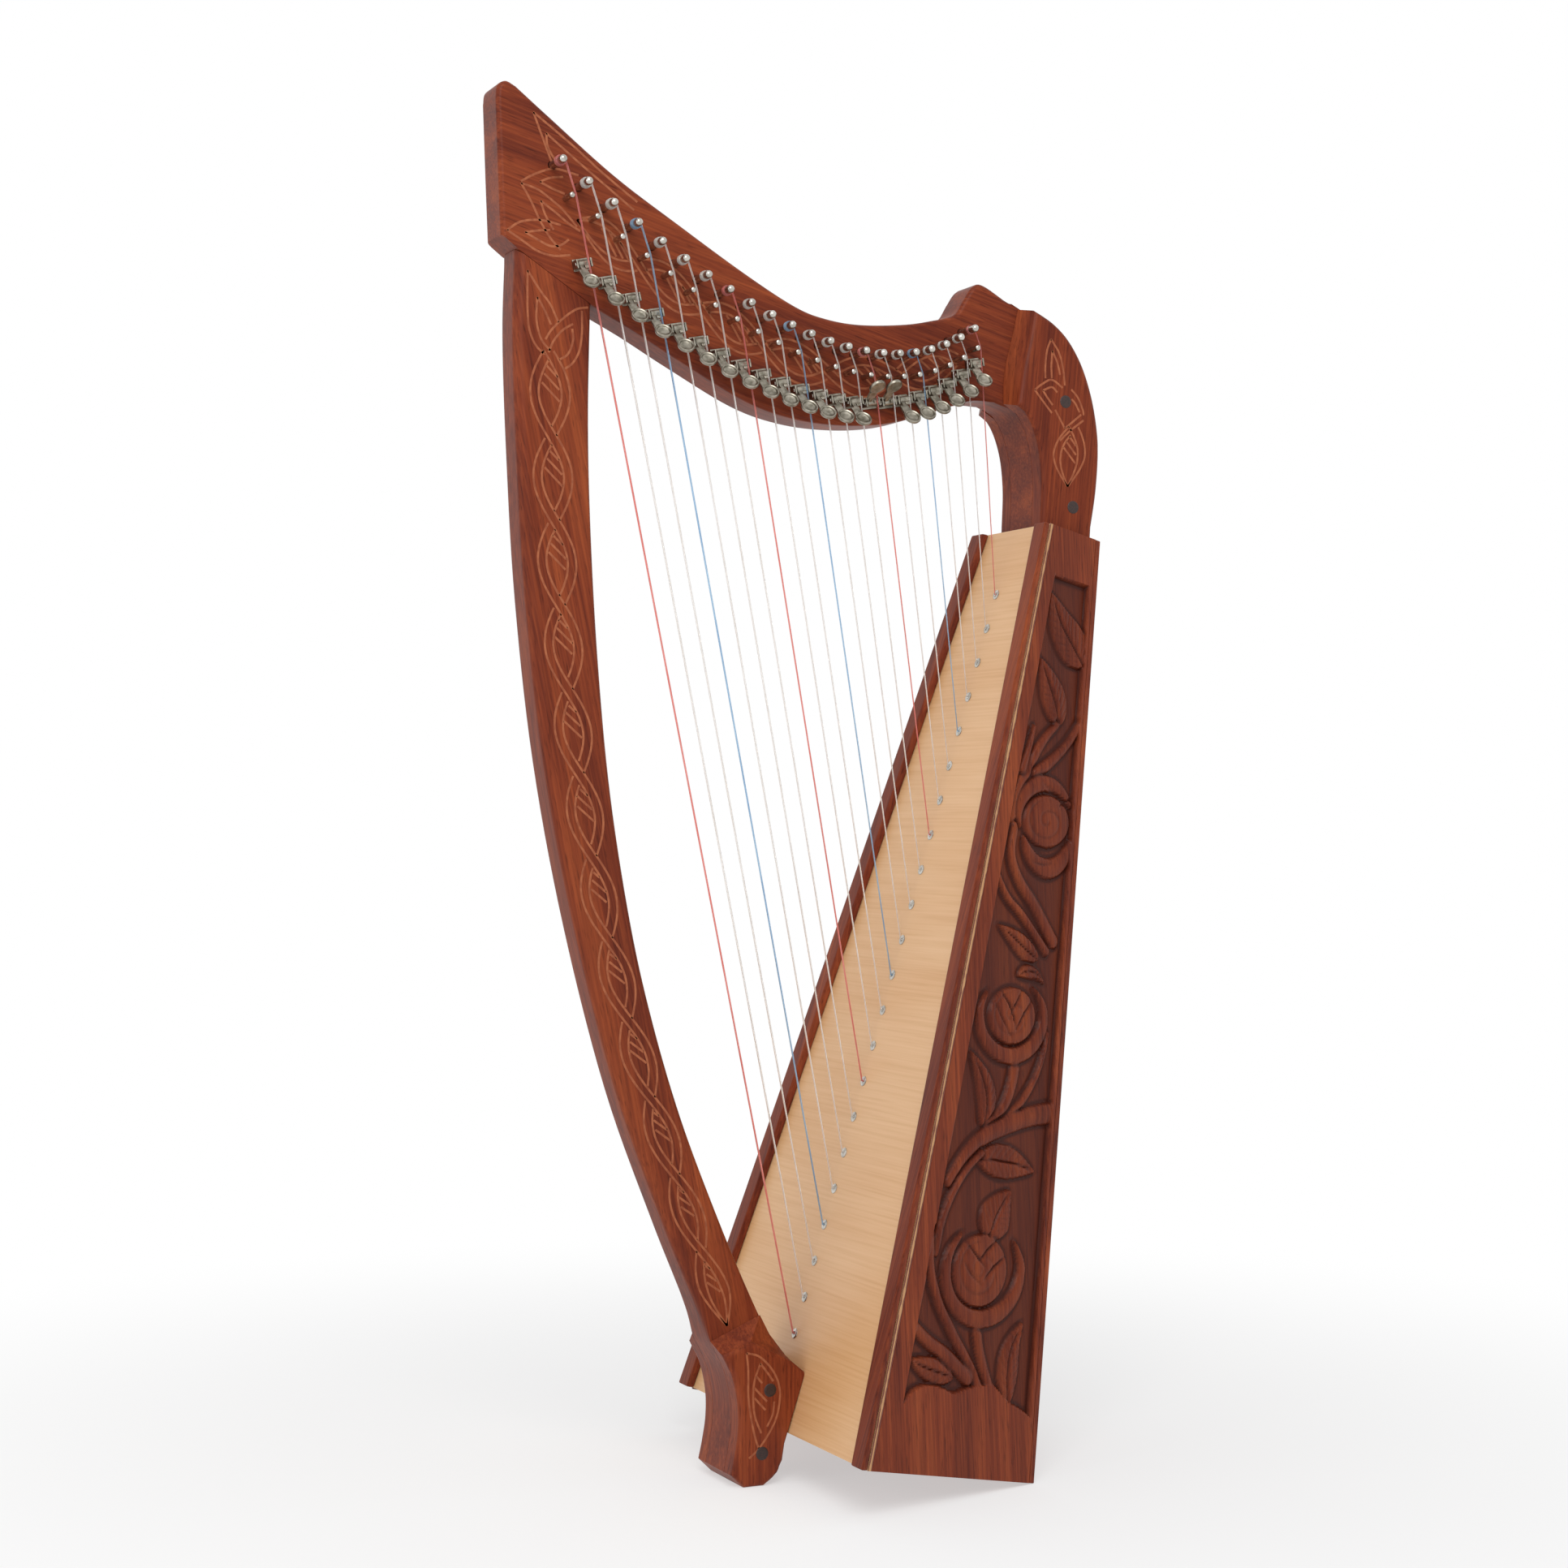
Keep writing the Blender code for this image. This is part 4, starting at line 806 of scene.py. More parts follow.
def carved_panel(label, side, shift):
    """a closed board whose outer face is a fine grid with the relief on it"""
    plane = near_side if side < 0 else far_side
    front = moved(board_plane, -BOARD_THICKNESS - SEAT_GAP)
    rear = moved(back_plane, -BACK_THICKNESS - SEAT_GAP)
    zero, back, up, out = panel_axes(side)
    corners = [meet(plane, front, base_plane), meet(plane, rear, base_plane), meet(plane, front, top_plane),
               meet(plane, rear, top_plane)]
    flat = np.array([[(c - zero).dot(back), (c - zero).dot(up)] for c in corners])
    rows = round((flat[2] - flat[0])[1] / PANEL_STEP)
    columns = round((flat[1] - flat[0])[0] / PANEL_STEP)
    v, u = np.meshgrid(np.linspace(0, 1, rows + 1), np.linspace(0, 1, columns + 1), indexing="ij")
    on_panel = ((1 - v)[..., None] * ((1 - u)[..., None] * flat[0] + u[..., None] * flat[1])
                + v[..., None] * ((1 - u)[..., None] * flat[2] + u[..., None] * flat[3]))
    height, dark = relief(on_panel[..., 0] / MM, on_panel[..., 1] / MM)
    height = height * MM
    points = (np.array(zero) + on_panel[..., :1] * np.array(back) + on_panel[..., 1:] * np.array(up)
              + height[..., None] * np.array(out))
    bm = bmesh.new()
    grid = [[bm.verts.new(p) for p in row] for row in points]
    for low, high in zip(grid, grid[1:]):
        for k in range(columns):
            bm.faces.new((low[k], low[k + 1], high[k + 1], high[k]))
    rim = ([grid[0][k] for k in range(columns)] + [grid[r][columns] for r in range(rows)]
           + [grid[rows][k] for k in range(columns, 0, -1)] + [grid[r][0] for r in range(rows, 0, -1)])
    inner = [bm.verts.new(v.co - out * SIDE_THICKNESS) for v in rim]
    for k in range(len(rim)):
        m = (k + 1) % len(rim)
        bm.faces.new((rim[m], rim[k], inner[k], inner[m]))
    bm.faces.new(inner)
    panel = as_object("carved_side_" + label, bm, stained_wood)
    # the carving's gathered stain and painted shade, as a point attribute for the wood's colour
    values = np.zeros(len(panel.data.vertices), np.float32)
    values[:dark.size] = dark.ravel()
    hollow = panel.data.attributes.new("hollow", "FLOAT", "POINT")
    hollow.data.foreach_set("value", values)
    wooden(panel, up, out, shift, "side_panel_" + label)


carved_panel("near", -1, 3.3)
carved_panel("far", 1, 4.1)

# %% [markdown]
# ## Outlines of the neck and the pillar
# The neck and the pillar are planks 27 mm thick, sawn to a line that a maker draws with a bent batten. A few
# points on that line and a smooth curve through them do the same. Rounding the edges takes a few rings of
# points, each further in and nearer to the face, on a quarter circle. A Bevel modifier would be shorter, but
# it stumbles over the short edges of such curves, and here the rounding can fade out towards a joint.

# %% The outlines' points, x and z in millimetres
HEAD_FRONT = spots("-196.2 735.4  -197.6 770  -199.2 815")
HEAD_TOP = spots("-199.2 815  -198.1 821.6  -193.2 824.6  -187.2 822.2")
NECK_TOP = spots("-187.2 822.2  -166 806.2  -125.5 776.4  -84 751.2  -41.6 726.5  -8.2 709.4  12.7 "
                 "703.5  36.8 701.7  68.8 704.5  92.8 709.6")
NECK_BUMP = spots("92.8 709.6  102.8 713.6  108.8 722.6  115.3 731.6  122.8 733  140.8 723.5")
SHOULDER_BACK = spots("140.8 723.5  153.8 717  166.8 710  177.8 700  187.3 685  194.3 666  198.3 646 "
                      "199.2 629  197.3 605  193.1 580")
KNEE_FRONT = spots("156.8 583  157.6 612  154.2 636  145.3 654  130.8 660.3")
NECK_LOW = spots("130.8 660.3  113.8 659.9  91.5 652.8  56.8 642.4  23.8 639  -9.2 641  -41.2 649.5 "
                 "-83.5 670.3  -113.2 686  -140.3 698.9")
CHEEK_LINE = spots("146.8 719.5  142 699.5  137.8 684  136.1 670  136.3 659.2")
CHEEK_LINE_OUTER = spots("153.3 717.2  150.3 699  146.8 684  143.6 668  141 657")
PILLAR_OUTER = spots("-186.8 728.3  -188.1 680  -185.8 612  -180.5 526.8  -169.2 431.5  -150.3 335.5 "
                     "-124 238  -94.2 158.9  -73 108.5  -65.1 86.6")
PILLAR_INNER = spots("-140.3 698.9  -141.5 630  -139.8 564  -135.2 488  -127.5 412  -114.7 336  -100.7 "
                     "278  -82.4 219.7  -58.7 160  -32.5 100")
FOOT_FRONT = spots("-65.1 86.6  -56.1 68  -52 50  -51.7 34  -53.8 20  -56.4 8")
FOOT_SOLE = spots("-56.4 8  -48.2 0  -35.2 0")
FOOT_HEEL = spots("-35.2 0  -27.7 5.5  -22.7 14")
FOOT_BACK_HEIGHTS = (24.0 * MM, 66.0 * MM)
FOOT_BACK = spots("-15.7 74.5  -26.2 88  -32.5 100")
FOOT_CHAMFER_FRONT = (-61.8, 78.8)
FOOT_CHAMFER_BACK = spots("-15.7 71.4  -27.2 75.7  -46 82.6")
FOOT_PLUGS = spots("-31.6 57  -36.9 19.7")
SHOULDER_PLUGS = spots("174.1 661.5  179.5 595.2")
PLANK_THICKNESS = 27.0 * MM
CHEEK_THICKNESS = 13.0 * MM
print("outline points:", sum(len(run) for run in (HEAD_FRONT, HEAD_TOP, NECK_TOP, NECK_BUMP, SHOULDER_BACK,
                                                   KNEE_FRONT, NECK_LOW, PILLAR_OUTER, PILLAR_INNER)))

# %% Planks with rounded edges
ROUNDING_STEPS = 5
NECK_ROUNDING = 3.0 * MM
PILLAR_ROUNDING = 6.0 * MM
CHEEK_ROUNDING = 3.0 * MM


def rounding_layers(outline, amounts, face, out, radius):
    """rings on a quarter circle from a plank's side to its face, out being +1 or -1"""
    layers = []
    for step in range(ROUNDING_STEPS + 1):
        angle = math.pi / 2 * step / ROUNDING_STEPS
        share = 1 - math.cos(angle)
        ring = inset(outline, [a * share for a in amounts])
        layers.append((face - out * radius * (1 - math.sin(angle)), ring))
    return layers


def rounded_plank(outline, amounts, radius):
    """a plank with both faces' edges rounded"""
    half = PLANK_THICKNESS / 2
    return layered_plate(rounding_layers(outline, amounts, -half, -1, radius)[::-1]
                         + rounding_layers(outline, amounts, half, 1, radius))


def roundings(outline, radius, is_rounded):
    """the rounding of each edge, none where the edge meets another piece"""
    return [radius if is_rounded((a + b) / 2) else 0.0 for a, b in zip(outline, outline[1:] + outline[:1])]


def cut_on_top(points):
    """the points moved onto the seat above the sound box's top"""
    point, way = moved(top_plane, SEAT_GAP)
    return [Vector((p.x, point.z - (p.x - point.x) * way.x / way.z)) for p in points]


joint_outer, joint_inner = smooth([PILLAR_OUTER[0], PILLAR_INNER[0]], 1)
joint_along = (joint_inner - joint_outer).normalized()
joint_out = Vector((-joint_along.y, joint_along.x))


def near_joint(point):
    """whether a point lies on the joint between neck and pillar"""
    return abs((point - joint_outer).dot(joint_out)) < 2 * SEAT_GAP


furthest = max(x for x, z in SHOULDER_BACK) * MM
shoulder_back = [Vector((min(p.x, furthest), p.y)) for p in smooth(SHOULDER_BACK, 8)]
knee_front = smooth(KNEE_FRONT, 8)
shoulder_back[-1], knee_front[0] = cut_on_top([shoulder_back[-1], knee_front[0]])
neck_line = joined(smooth(HEAD_FRONT, 2), smooth(HEAD_TOP, 6), smooth(NECK_TOP, 7), smooth(NECK_BUMP, 6),
                   shoulder_back, knee_front, smooth(NECK_LOW, 7),
                   smooth([PILLAR_OUTER[0], HEAD_FRONT[0]], 1)[:1])
print("neck outline has", len(neck_line), "points")

# %% [markdown]
# ## Where every string runs
# A string rises from its eyelet, bends round its bridge pin and goes on to its tuning pin. All 22 follow
# one rule: eyelets at an even pitch, lengths on a smooth curve, and a tilt that lessens towards the treble.

# %% String geometry
STRING_COUNT = 22
STRING_Y = -(PLANK_THICKNESS / 2 + 11.0 * MM)
EYELET_HEIGHT = 0.8 * MM
BRIDGE_PIN_RADIUS = 1.7 * MM
TUNING_PIN_RADIUS = 2.4 * MM
WINDING_SINK = 0.3 * MM
SEMITONE_SHARE = 1.0 - 2.0 ** (-1.0 / 12.0)
LENGTHS = (693.0 * MM, 470.0 * MM, 286.0 * MM, 153.0 * MM)


def between(bass, treble, index):
    """a size that runs evenly from the first string to the last"""
    return bass + (treble - bass) * index / (STRING_COUNT - 1)


def tilted(angle):
    """the way up at a tilt and the way across it, towards the treble"""
    return Vector((-math.sin(angle), 0, math.cos(angle))), Vector((math.cos(angle), 0, math.sin(angle)))


strings = []
for index in range(STRING_COUNT):
    t = 3.0 * index / (STRING_COUNT - 1)
    a, b, c, d = LENGTHS
    length = (a + (b - a) * t + (c - 2 * b + a) * t * (t - 1) / 2
              + (d - 3 * c + 3 * b - a) * t * (t - 1) * (t - 2) / 6)
    radius = between(0.60 * MM, 0.35 * MM, index)
    tilt = math.radians(between(12.7, 9.5, index))
    up, across = tilted(tilt)
    eyelet = board_point(84.0 * MM + index * 22.76 * MM * math.cos(BOARD_LEAN))
    bend = eyelet + up * length
    top_tilt = math.radians(between(18.5, 22.0, index))
    top_up, top_across = tilted(top_tilt)
    end = bend + top_up * between(20.5 * MM, 12.5 * MM, index)
    pin_reach = TUNING_PIN_RADIUS - WINDING_SINK + 3 * radius + SEAT_GAP
    pivot = bend - up * length * SEMITONE_SHARE
    strings.append({"radius": radius, "tilt": tilt, "eyelet": eyelet, "bend": bend, "end": end,
                    "bridge": bend - across * (BRIDGE_PIN_RADIUS + radius + SEAT_GAP),
                    "tuning": end - top_across * pin_reach, "phase": math.atan2(top_across.z, top_across.x),
                    "pivot": Vector((pivot.x, -(PLANK_THICKNESS / 2 + 5.2 * MM), pivot.z)),
                    "name": "%02d" % (index + 1)})
print("longest string, mm:", round((strings[0]["bend"] - strings[0]["eyelet"]).length / MM))

# %% [markdown]
# ## Neck and pillar
# The neck carries the whole pull of the strings, so it is one wide plank, with its grain along its length
# and a hole drilled through it for every tuning pin. The pillar pushes back against that pull and curves out
# of the strings' way. Its outer edge is rounded most, and the rounding fades out where another piece is
# glued on.

# %% Neck
def neck_edge_is_open(point):
    """whether the neck's edge is free there, so that it is rounded"""
    return point.x < CHEEK_LINE[-1][0] * MM + CHEEK_ROUNDING and not near_joint(point)


amounts = roundings(neck_line, NECK_ROUNDING, neck_edge_is_open)
neck = as_object("neck_plank", rounded_plank(neck_line, amounts, NECK_ROUNDING), stained_wood)
drills = bmesh.new()
for string in strings:
    pin = Vector((string["tuning"].x, 0, string["tuning"].z))
    place = Matrix.Translation(pin) @ Matrix.Rotation(math.pi / 2, 4, "X")
    bmesh.ops.create_cone(drills, cap_ends=True, segments=20, radius1=TUNING_PIN_RADIUS + 0.3 * MM,
                          radius2=TUNING_PIN_RADIUS + 0.3 * MM, depth=2 * PLANK_THICKNESS, matrix=place)
combine(neck, as_object("pin_drills", drills, stained_wood), "DIFFERENCE")
wooden(neck, Vector((0.966, 0, -0.26)), ALONG_Y, 5.2, "neck")

# %% Pillar
def foot_line(back):
    """the foot's edge from its front joint round the sole to its back joint"""
    seat = [Vector((board_point(z).x - SEAT_GAP / math.cos(BOARD_LEAN), z)) for z in FOOT_BACK_HEIGHTS]
    heel = smooth(FOOT_HEEL, 5)[1:]
    return [*smooth(FOOT_FRONT, 6), *smooth(FOOT_SOLE, 1)[1:], *heel, *seat, *smooth(back, 1)]


outer, inner = smooth(PILLAR_OUTER, 7), smooth(PILLAR_INNER, 7)
outer[0], inner[0] = outer[0] - joint_out * SEAT_GAP, inner[0] - joint_out * SEAT_GAP
pillar_line = joined(outer, foot_line(FOOT_BACK), inner[::-1])
foot_top = FOOT_FRONT[0][1] * MM
ROUNDING_FADE = 45.0 * MM


def pillar_rounding(point):
    """most on the outer curve, little on the inner one, none where the neck and the cheeks sit"""
    if point.y < foot_top or near_joint(point):
        return 0.0
    on_outer = min((point - p).length for p in outer) < min((point - p).length for p in inner)
    fade = min(1.0, (point.y - foot_top) / ROUNDING_FADE)
    return fade * (PILLAR_ROUNDING if on_outer else NECK_ROUNDING)


amounts = [pillar_rounding((a + b) / 2) for a, b in zip(pillar_line, pillar_line[1:] + pillar_line[:1])]
pillar = as_object("pillar_plank", rounded_plank(pillar_line, amounts, PILLAR_ROUNDING), stained_wood)
wooden(pillar, Vector((0.2, 0, -0.98)), ALONG_Y, 6.1, "pillar")

# %% [markdown]
# ## Cheeks and plugs
# Two cheeks brace the foot and two the shoulder, glued and bolted to the planks' faces. Their inner edges
# slope up to the face in a broad chamfer, and dark plugs hide the bolts.

# %% Cheeks
def cheek(name, inner_line, outer_line, seat, side):
    """a cheek with a chamfer from its inner line to its outer line and a rounded outer edge"""
    low, high = PLANK_THICKNESS / 2 + SEAT_GAP, PLANK_THICKNESS / 2 + CHEEK_THICKNESS
    share = 1 - CHEEK_ROUNDING / CHEEK_THICKNESS
    shelf = [a.lerp(b, share) for a, b in zip(inner_line, outer_line)]

    def seated(p):
        """whether a point lies on the sound box"""
        return abs((p.x - seat[0].x) * seat[1].x + (p.y - seat[0].z) * seat[1].z) < 1.2 * SEAT_GAP

    flags = [seated(p) for p in outer_line]
    amounts = [0.0 if a and b else CHEEK_ROUNDING for a, b in zip(flags, flags[1:] + flags[:1])]
    top_line = inset(outer_line, amounts)
    layers = [(side * low, inner_line)]
    for step in range(ROUNDING_STEPS + 1):
        angle = math.pi / 2 * step / ROUNDING_STEPS
        ring = [a.lerp(b, 1 - math.cos(angle)) for a, b in zip(shelf, top_line)]
        layers.append((side * (high - CHEEK_ROUNDING * (1 - math.sin(angle))), ring))
    return as_object(name, layered_plate(layers), stained_wood)


foot_inner = foot_line(FOOT_BACK)
foot_outer = foot_line(FOOT_CHAMFER_BACK)
slope_end = 6
start = Vector(FOOT_CHAMFER_FRONT) * MM
for k in range(slope_end):
    foot_outer[k] = start.lerp(foot_outer[slope_end], k / slope_end)
edge, sloped = smooth(CHEEK_LINE, 5), smooth(CHEEK_LINE_OUTER, 5)
back_run = [p for p in shoulder_back if p.x > sloped[0].x + CHEEK_ROUNDING]
front_run = [p for p in knee_front if p.x > sloped[-1].x + CHEEK_ROUNDING]
shoulder_inner = [edge[0], *back_run, *front_run, *edge[:0:-1]]
shoulder_outer = [sloped[0], *back_run, *front_run, *sloped[:0:-1]]


def left_pair(first, second):
    """both lines turned so that the inside is on the left"""
    area = sum(a.x * b.y - b.x * a.y for a, b in zip(first, first[1:] + first[:1]))
    return (first, second) if area > 0 else (first[::-1], second[::-1])


for label, side in (("near", -1), ("far", 1)):
    for name, pair, seat, lean, shift in (
            ("foot", (foot_inner, foot_outer), board_plane, 0.0, 7.0),
            ("shoulder", (shoulder_inner, shoulder_outer), top_plane, 0.1, 8.0)):
        block = cheek(name + "_cheek_block_" + label, *left_pair(*pair), seat, side)
        wooden(block, Vector((lean, 0, 1)), ALONG_Y, shift + side * 0.2, name + "_cheek_" + label)

# %% [markdown]
# ## Nodes that copy and nodes that draw tubes
# Small parts repeat and strings follow paths, which is what Geometry Nodes are good at. One tree sets a
# piece on every point of a mesh, turned as the point's attribute says. Another makes a round tube along
# every line of a mesh, as thick as the points' attribute says. A third makes flat ribbons for cut lines.

# %% Trees
def new_tree(name, sockets):
    """a geometry tree with its input and output nodes"""
    tree = bpy.data.node_groups.new(name, "GeometryNodeTree")
    tree.interface.new_socket("Geometry", in_out="INPUT", socket_type="NodeSocketGeometry")
    for label, kind in sockets.items():
        tree.interface.new_socket(label, in_out="INPUT", socket_type=kind)
    tree.interface.new_socket("Geometry", in_out="OUTPUT", socket_type="NodeSocketGeometry")
    return tree, add_node(tree, "NodeGroupInput").outputs


def end_tree(tree, geometry, skin):
    """every tree ends in real geometry with a material"""
    real = add_node(tree, "GeometryNodeRealizeInstances", {0: geometry})
    painted = add_node(tree, "GeometryNodeSetMaterial", {"Geometry": real.outputs[0], "Material": skin})
    add_node(tree, "NodeGroupOutput", {0: painted.outputs[0]})


copies_on_points, given = new_tree("copies_on_points",
                                   {"Piece": "NodeSocketObject", "Skin": "NodeSocketMaterial"})
model = add_node(copies_on_points, "GeometryNodeObjectInfo", {"Object": given["Piece"], "As Instance": True})
turn = add_node(copies_on_points, "GeometryNodeInputNamedAttribute", {"Name": "turn"},
                data_type="FLOAT_VECTOR")
copies = add_node(copies_on_points, "GeometryNodeInstanceOnPoints",
                  {"Points": given["Geometry"], "Instance": model.outputs["Geometry"],
                   "Rotation": turn.outputs[0]})
end_tree(copies_on_points, copies.outputs[0], given["Skin"])

tubes_on_lines, given = new_tree("tubes_on_lines", {"Sides": "NodeSocketInt", "Skin": "NodeSocketMaterial"})
paths = add_node(tubes_on_lines, "GeometryNodeMeshToCurve", {"Mesh": given["Geometry"]})
section = add_node(tubes_on_lines, "GeometryNodeCurvePrimitiveCircle",
                   {"Resolution": given["Sides"], "Radius": 1.0})
thick = add_node(tubes_on_lines, "GeometryNodeInputNamedAttribute", {"Name": "thickness"}, data_type="FLOAT")
tubes = add_node(tubes_on_lines, "GeometryNodeCurveToMesh",
                 {"Curve": paths.outputs[0], "Profile Curve": section.outputs[0], "Scale": thick.outputs[0],
                  "Fill Caps": True})
end_tree(tubes_on_lines, tubes.outputs[0], given["Skin"])

ribbons_on_lines, given = new_tree("ribbons_on_lines",
                                   {"Width": "NodeSocketFloat", "Skin": "NodeSocketMaterial"})
paths = add_node(ribbons_on_lines, "GeometryNodeMeshToCurve", {"Mesh": given["Geometry"]})
flat = add_node(ribbons_on_lines, "GeometryNodeSetCurveNormal",
                {"Curve": paths.outputs[0], "Normal": (0, -1, 0)}, mode="FREE")
section = add_node(ribbons_on_lines, "GeometryNodeCurvePrimitiveQuadrilateral", {"Width": 0.1, "Height": 1.0})
ribbons = add_node(ribbons_on_lines, "GeometryNodeCurveToMesh",
                   {"Curve": flat.outputs[0], "Profile Curve": section.outputs[0], "Scale": given["Width"],
                    "Fill Caps": True})
end_tree(ribbons_on_lines, ribbons.outputs[0], given["Skin"])
print("trees:", *(tree.name for tree in bpy.data.node_groups))


def grown(name, points, tree, settings, lines=(), **attributes):
    """a plain mesh object that a tree grows from points and lines with their attributes"""
    mesh = bpy.data.meshes.new(name + "_points")
    mesh.from_pydata(points, lines, [])
    for label, values in attributes.items():
        values = np.array(values, np.float32)
        kind, field = ("FLOAT_VECTOR", "vector") if values.ndim > 1 else ("FLOAT", "value")
        made = mesh.attributes.new(label, kind, "POINT")
        made.data.foreach_set(field, values.ravel())
    thing = bpy.data.objects.new(name, mesh)
    bpy.context.collection.objects.link(thing)
    modifier = thing.modifiers.new(tree.name, "NODES")
    modifier.node_group = tree
    for item in tree.interface.items_tree:
        if item.in_out == "INPUT" and item.name in settings:
            modifier[item.identifier] = settings[item.name]
    plain_mesh(thing)
    print(name, "grew to", len(thing.data.polygons), "faces")
    return thing


def copied(name, pattern, points, turns, skin):
    """copies of a pattern on points, after which the pattern is gone"""
    made = grown(name, points, copies_on_points, {"Piece": pattern, "Skin": skin}, turn=turns)
    bpy.data.objects.remove(pattern, do_unlink=True)
    return made


def tubes_along(name, paths, skin, sides=12):
    """tubes along paths, each a list of points and one radius"""
    points, lines, radii = [], [], []
    for path, radius in paths:
        first = len(points)
        points += [tuple(p) for p in path]
        radii += [radius] * len(path)
        lines += [(first + k, first + k + 1) for k in range(len(path) - 1)]
    return grown(name, points, tubes_on_lines, {"Sides": sides, "Skin": skin}, lines, thickness=radii)


# %% [markdown]
# ## Cut ornament
# Thin lines are cut through the stain of the pillar, the head, the neck and the cheeks. The long pattern is a
# twist of two strands. It follows one rule, so a formula draws it: both strands swing to and fro round a
# middle line, half a turn apart, and the one that comes in from the left passes over. Short slanted lines
# fill each eye between two crossings. Pointed leaves, drawn one by one, close the pattern at its ends.

# %% The twist of two strands
STRAND_SWING = 9.8 * MM
STRAND_HALF = 2.6 * MM
HATCH_STARTS = (0.21, 0.34, 0.48)
TWIST_STEPS = 28


def twist(middle, eyes, across, narrowing=0.0):
    """the cut lines of a two-strand twist round a middle line, swinging this way, with this many eyes; its
    swing narrows evenly by a share towards the end"""
    path = np.array(smooth(middle, 16))
    reached = np.concatenate([[0], np.cumsum(np.linalg.norm(np.diff(path, axis=0), axis=1))])
    pitch = reached[-1] / eyes
    last = eyes * TWIST_STEPS

    def spot(s, w):
        """the point this far along the middle line and this far beside it"""
        middle_spot = Vector((np.interp(s, reached, path[:, 0]), np.interp(s, reached, path[:, 1])))
        return middle_spot + Vector(across) * w

    runs = []
    for strand in (1, -1):
        for edge in (-STRAND_HALF, STRAND_HALF):
            run = []
            for k in range(last + 1):
                phase = math.pi * k / TWIST_STEPS
                end_share = min(1, (last - k) / TWIST_STEPS * 2)
                reach = strand * STRAND_SWING * (1 - narrowing * k / last)
                swing = reach * math.sin(phase)
                slope = reach * math.pi / pitch * math.cos(phase)
                stretch = math.hypot(1, slope)
                w = swing + edge * stretch * end_share
                if slope < 0 and abs(w + swing) < STRAND_HALF * stretch and k < last - TWIST_STEPS / 2:
                    runs.append(run)
                    run = []
                else:
                    run.append(spot(k * pitch / TWIST_STEPS, w))
            runs.append(run)
    for eye in range(eyes):
        for share in HATCH_STARTS:
            run = []
            for w in np.linspace(-STRAND_SWING, STRAND_SWING, 25):
                s = (eye + share) * pitch + w
                reach = STRAND_SWING * (1 - narrowing * s / reached[-1])
                if abs(w) < reach * abs(math.sin(math.pi * s / pitch)) - STRAND_HALF * 1.2:
                    run.append(spot(s, w))
            runs.append(run[::max(1, len(run) - 1)])
    return [run for run in runs if len(run) > 1]


PILLAR_MIDDLE = spots("-167.5 670.4  -165.8 624  -164 576.2  -160.6 525.4  -156.2 479.3  -150 434 "
                      "-142.8 388.6  -133.6 341  -121.4 292.2  -107.2 244.8  -91.6 198.5  -74.9 151.7 "
                      "-54 95")
NECK_MIDDLE = spots("104 685  72 675  37 669.5  0 673  -41 688  -84 710  -120 730.5  -150 748")
SHOULDER_MIDDLE = spots("180 646  177.5 634  176 620  175.5 608")
pillar_twist = twist(PILLAR_MIDDLE, 12, (1, 0), 0.3)
neck_twist = twist(NECK_MIDDLE, 6, (0, 1))
shoulder_twist = twist(SHOULDER_MIDDLE, 1, (1, 0), 0.2)
print("twist lines on the pillar:", len(pillar_twist), "and on the neck:", len(neck_twist))

# %% Leaves drawn one by one, x and z in millimetres
HEAD_LEAVES = spot_lines("""
-164 775.8  -169.5 789.3  -177 807.8
-177 807.8  -164.5 799.3  -149.4 788.7  -134 777  -112 762
-162.5 779.7  -168 788.6  -169 796.5
-169 796.5  -158.5 788.6  -146 779.5  -131 769  -114 757
-184.5 767.1  -174.5 772.8  -163.5 776.3  -149 774
-173 767.8  -166.5 770.8  -158.5 772.1
-173 767.8  -164.5 764.4  -157.5 762.3
-184.5 766  -174.5 763.4  -166.5 758.6  -158.5 752.7  -150 744
-184.5 766  -178.5 756.4  -172.5 744.8  -166.5 735.9  -160 729.5
-172.5 757  -169.5 748.8  -164.5 740.8
-172.5 757  -162.5 750.5  -155.5 745.5  -148 741.5
-193 738.1  -184.5 743.7  -172.5 745.7  -160 744
-193 738.1  -184.5 733.3  -174.5 727.7  -164.5 725.7  -154 727
-182 737.8  -174.5 739.4  -166.5 740.5
-182 737.8  -174.5 734.3  -166.5 731.2  -160 732.3  -155 736
""")
PILLAR_LEAVES = spot_lines("""
-180.5 715.9  -180.5 693.8  -179.5 682.1  -175.5 673  -170 668
-180.5 715.9  -173 705.2  -166.5 697.3  -161.5 687.3
-174.5 700.9  -175 687.2  -172 676.6  -166.5 670.5
-174.5 700.9  -170.5 694.6  -166 685.6
-143 697.4  -150.4 695.7  -159 689.4  -166 682.3  -169.5 676.8
-152.4 687.1  -159 682.8  -164.5 676.2  -167.5 669.4
-146.9 695.1  -146.9 682.3  -148.4 672  -152.4 664.5  -157.5 660.5
-152.9 684.2  -152.4 677.2  -155.5 669.4  -161 665.5
""")
SHOULDER_CUTS = spot_lines("""
159.3 675.3  159.3 683.5  160.5 692.7  163.4 700.1
163.4 700.1  169.3 691.9  172.3 681.8  173.5 671.7
164 675.6  163.6 683.8  164.4 693
164.4 693  168.2 685.1  169.9 678.1
151.5 667.5  157 671.5  164 674.6  172 670.1
151.5 667.5  157.5 660.8  164 653.7
157.5 667.5  164 670  168 667
157.5 667.5  161 662.9  164.6 658.8
178.3 669.5  183.1 664.7  186.7 657.2  187.3 653.7
178.5 663.4  181.5 660.4  184.3 655.5
166.4 655.9  171.1 648.5  173.5 644.6
173.5 644.6  179 648.9  185.5 654.1
169.9 636.7  177.1 643.2  187.3 650.6
""")
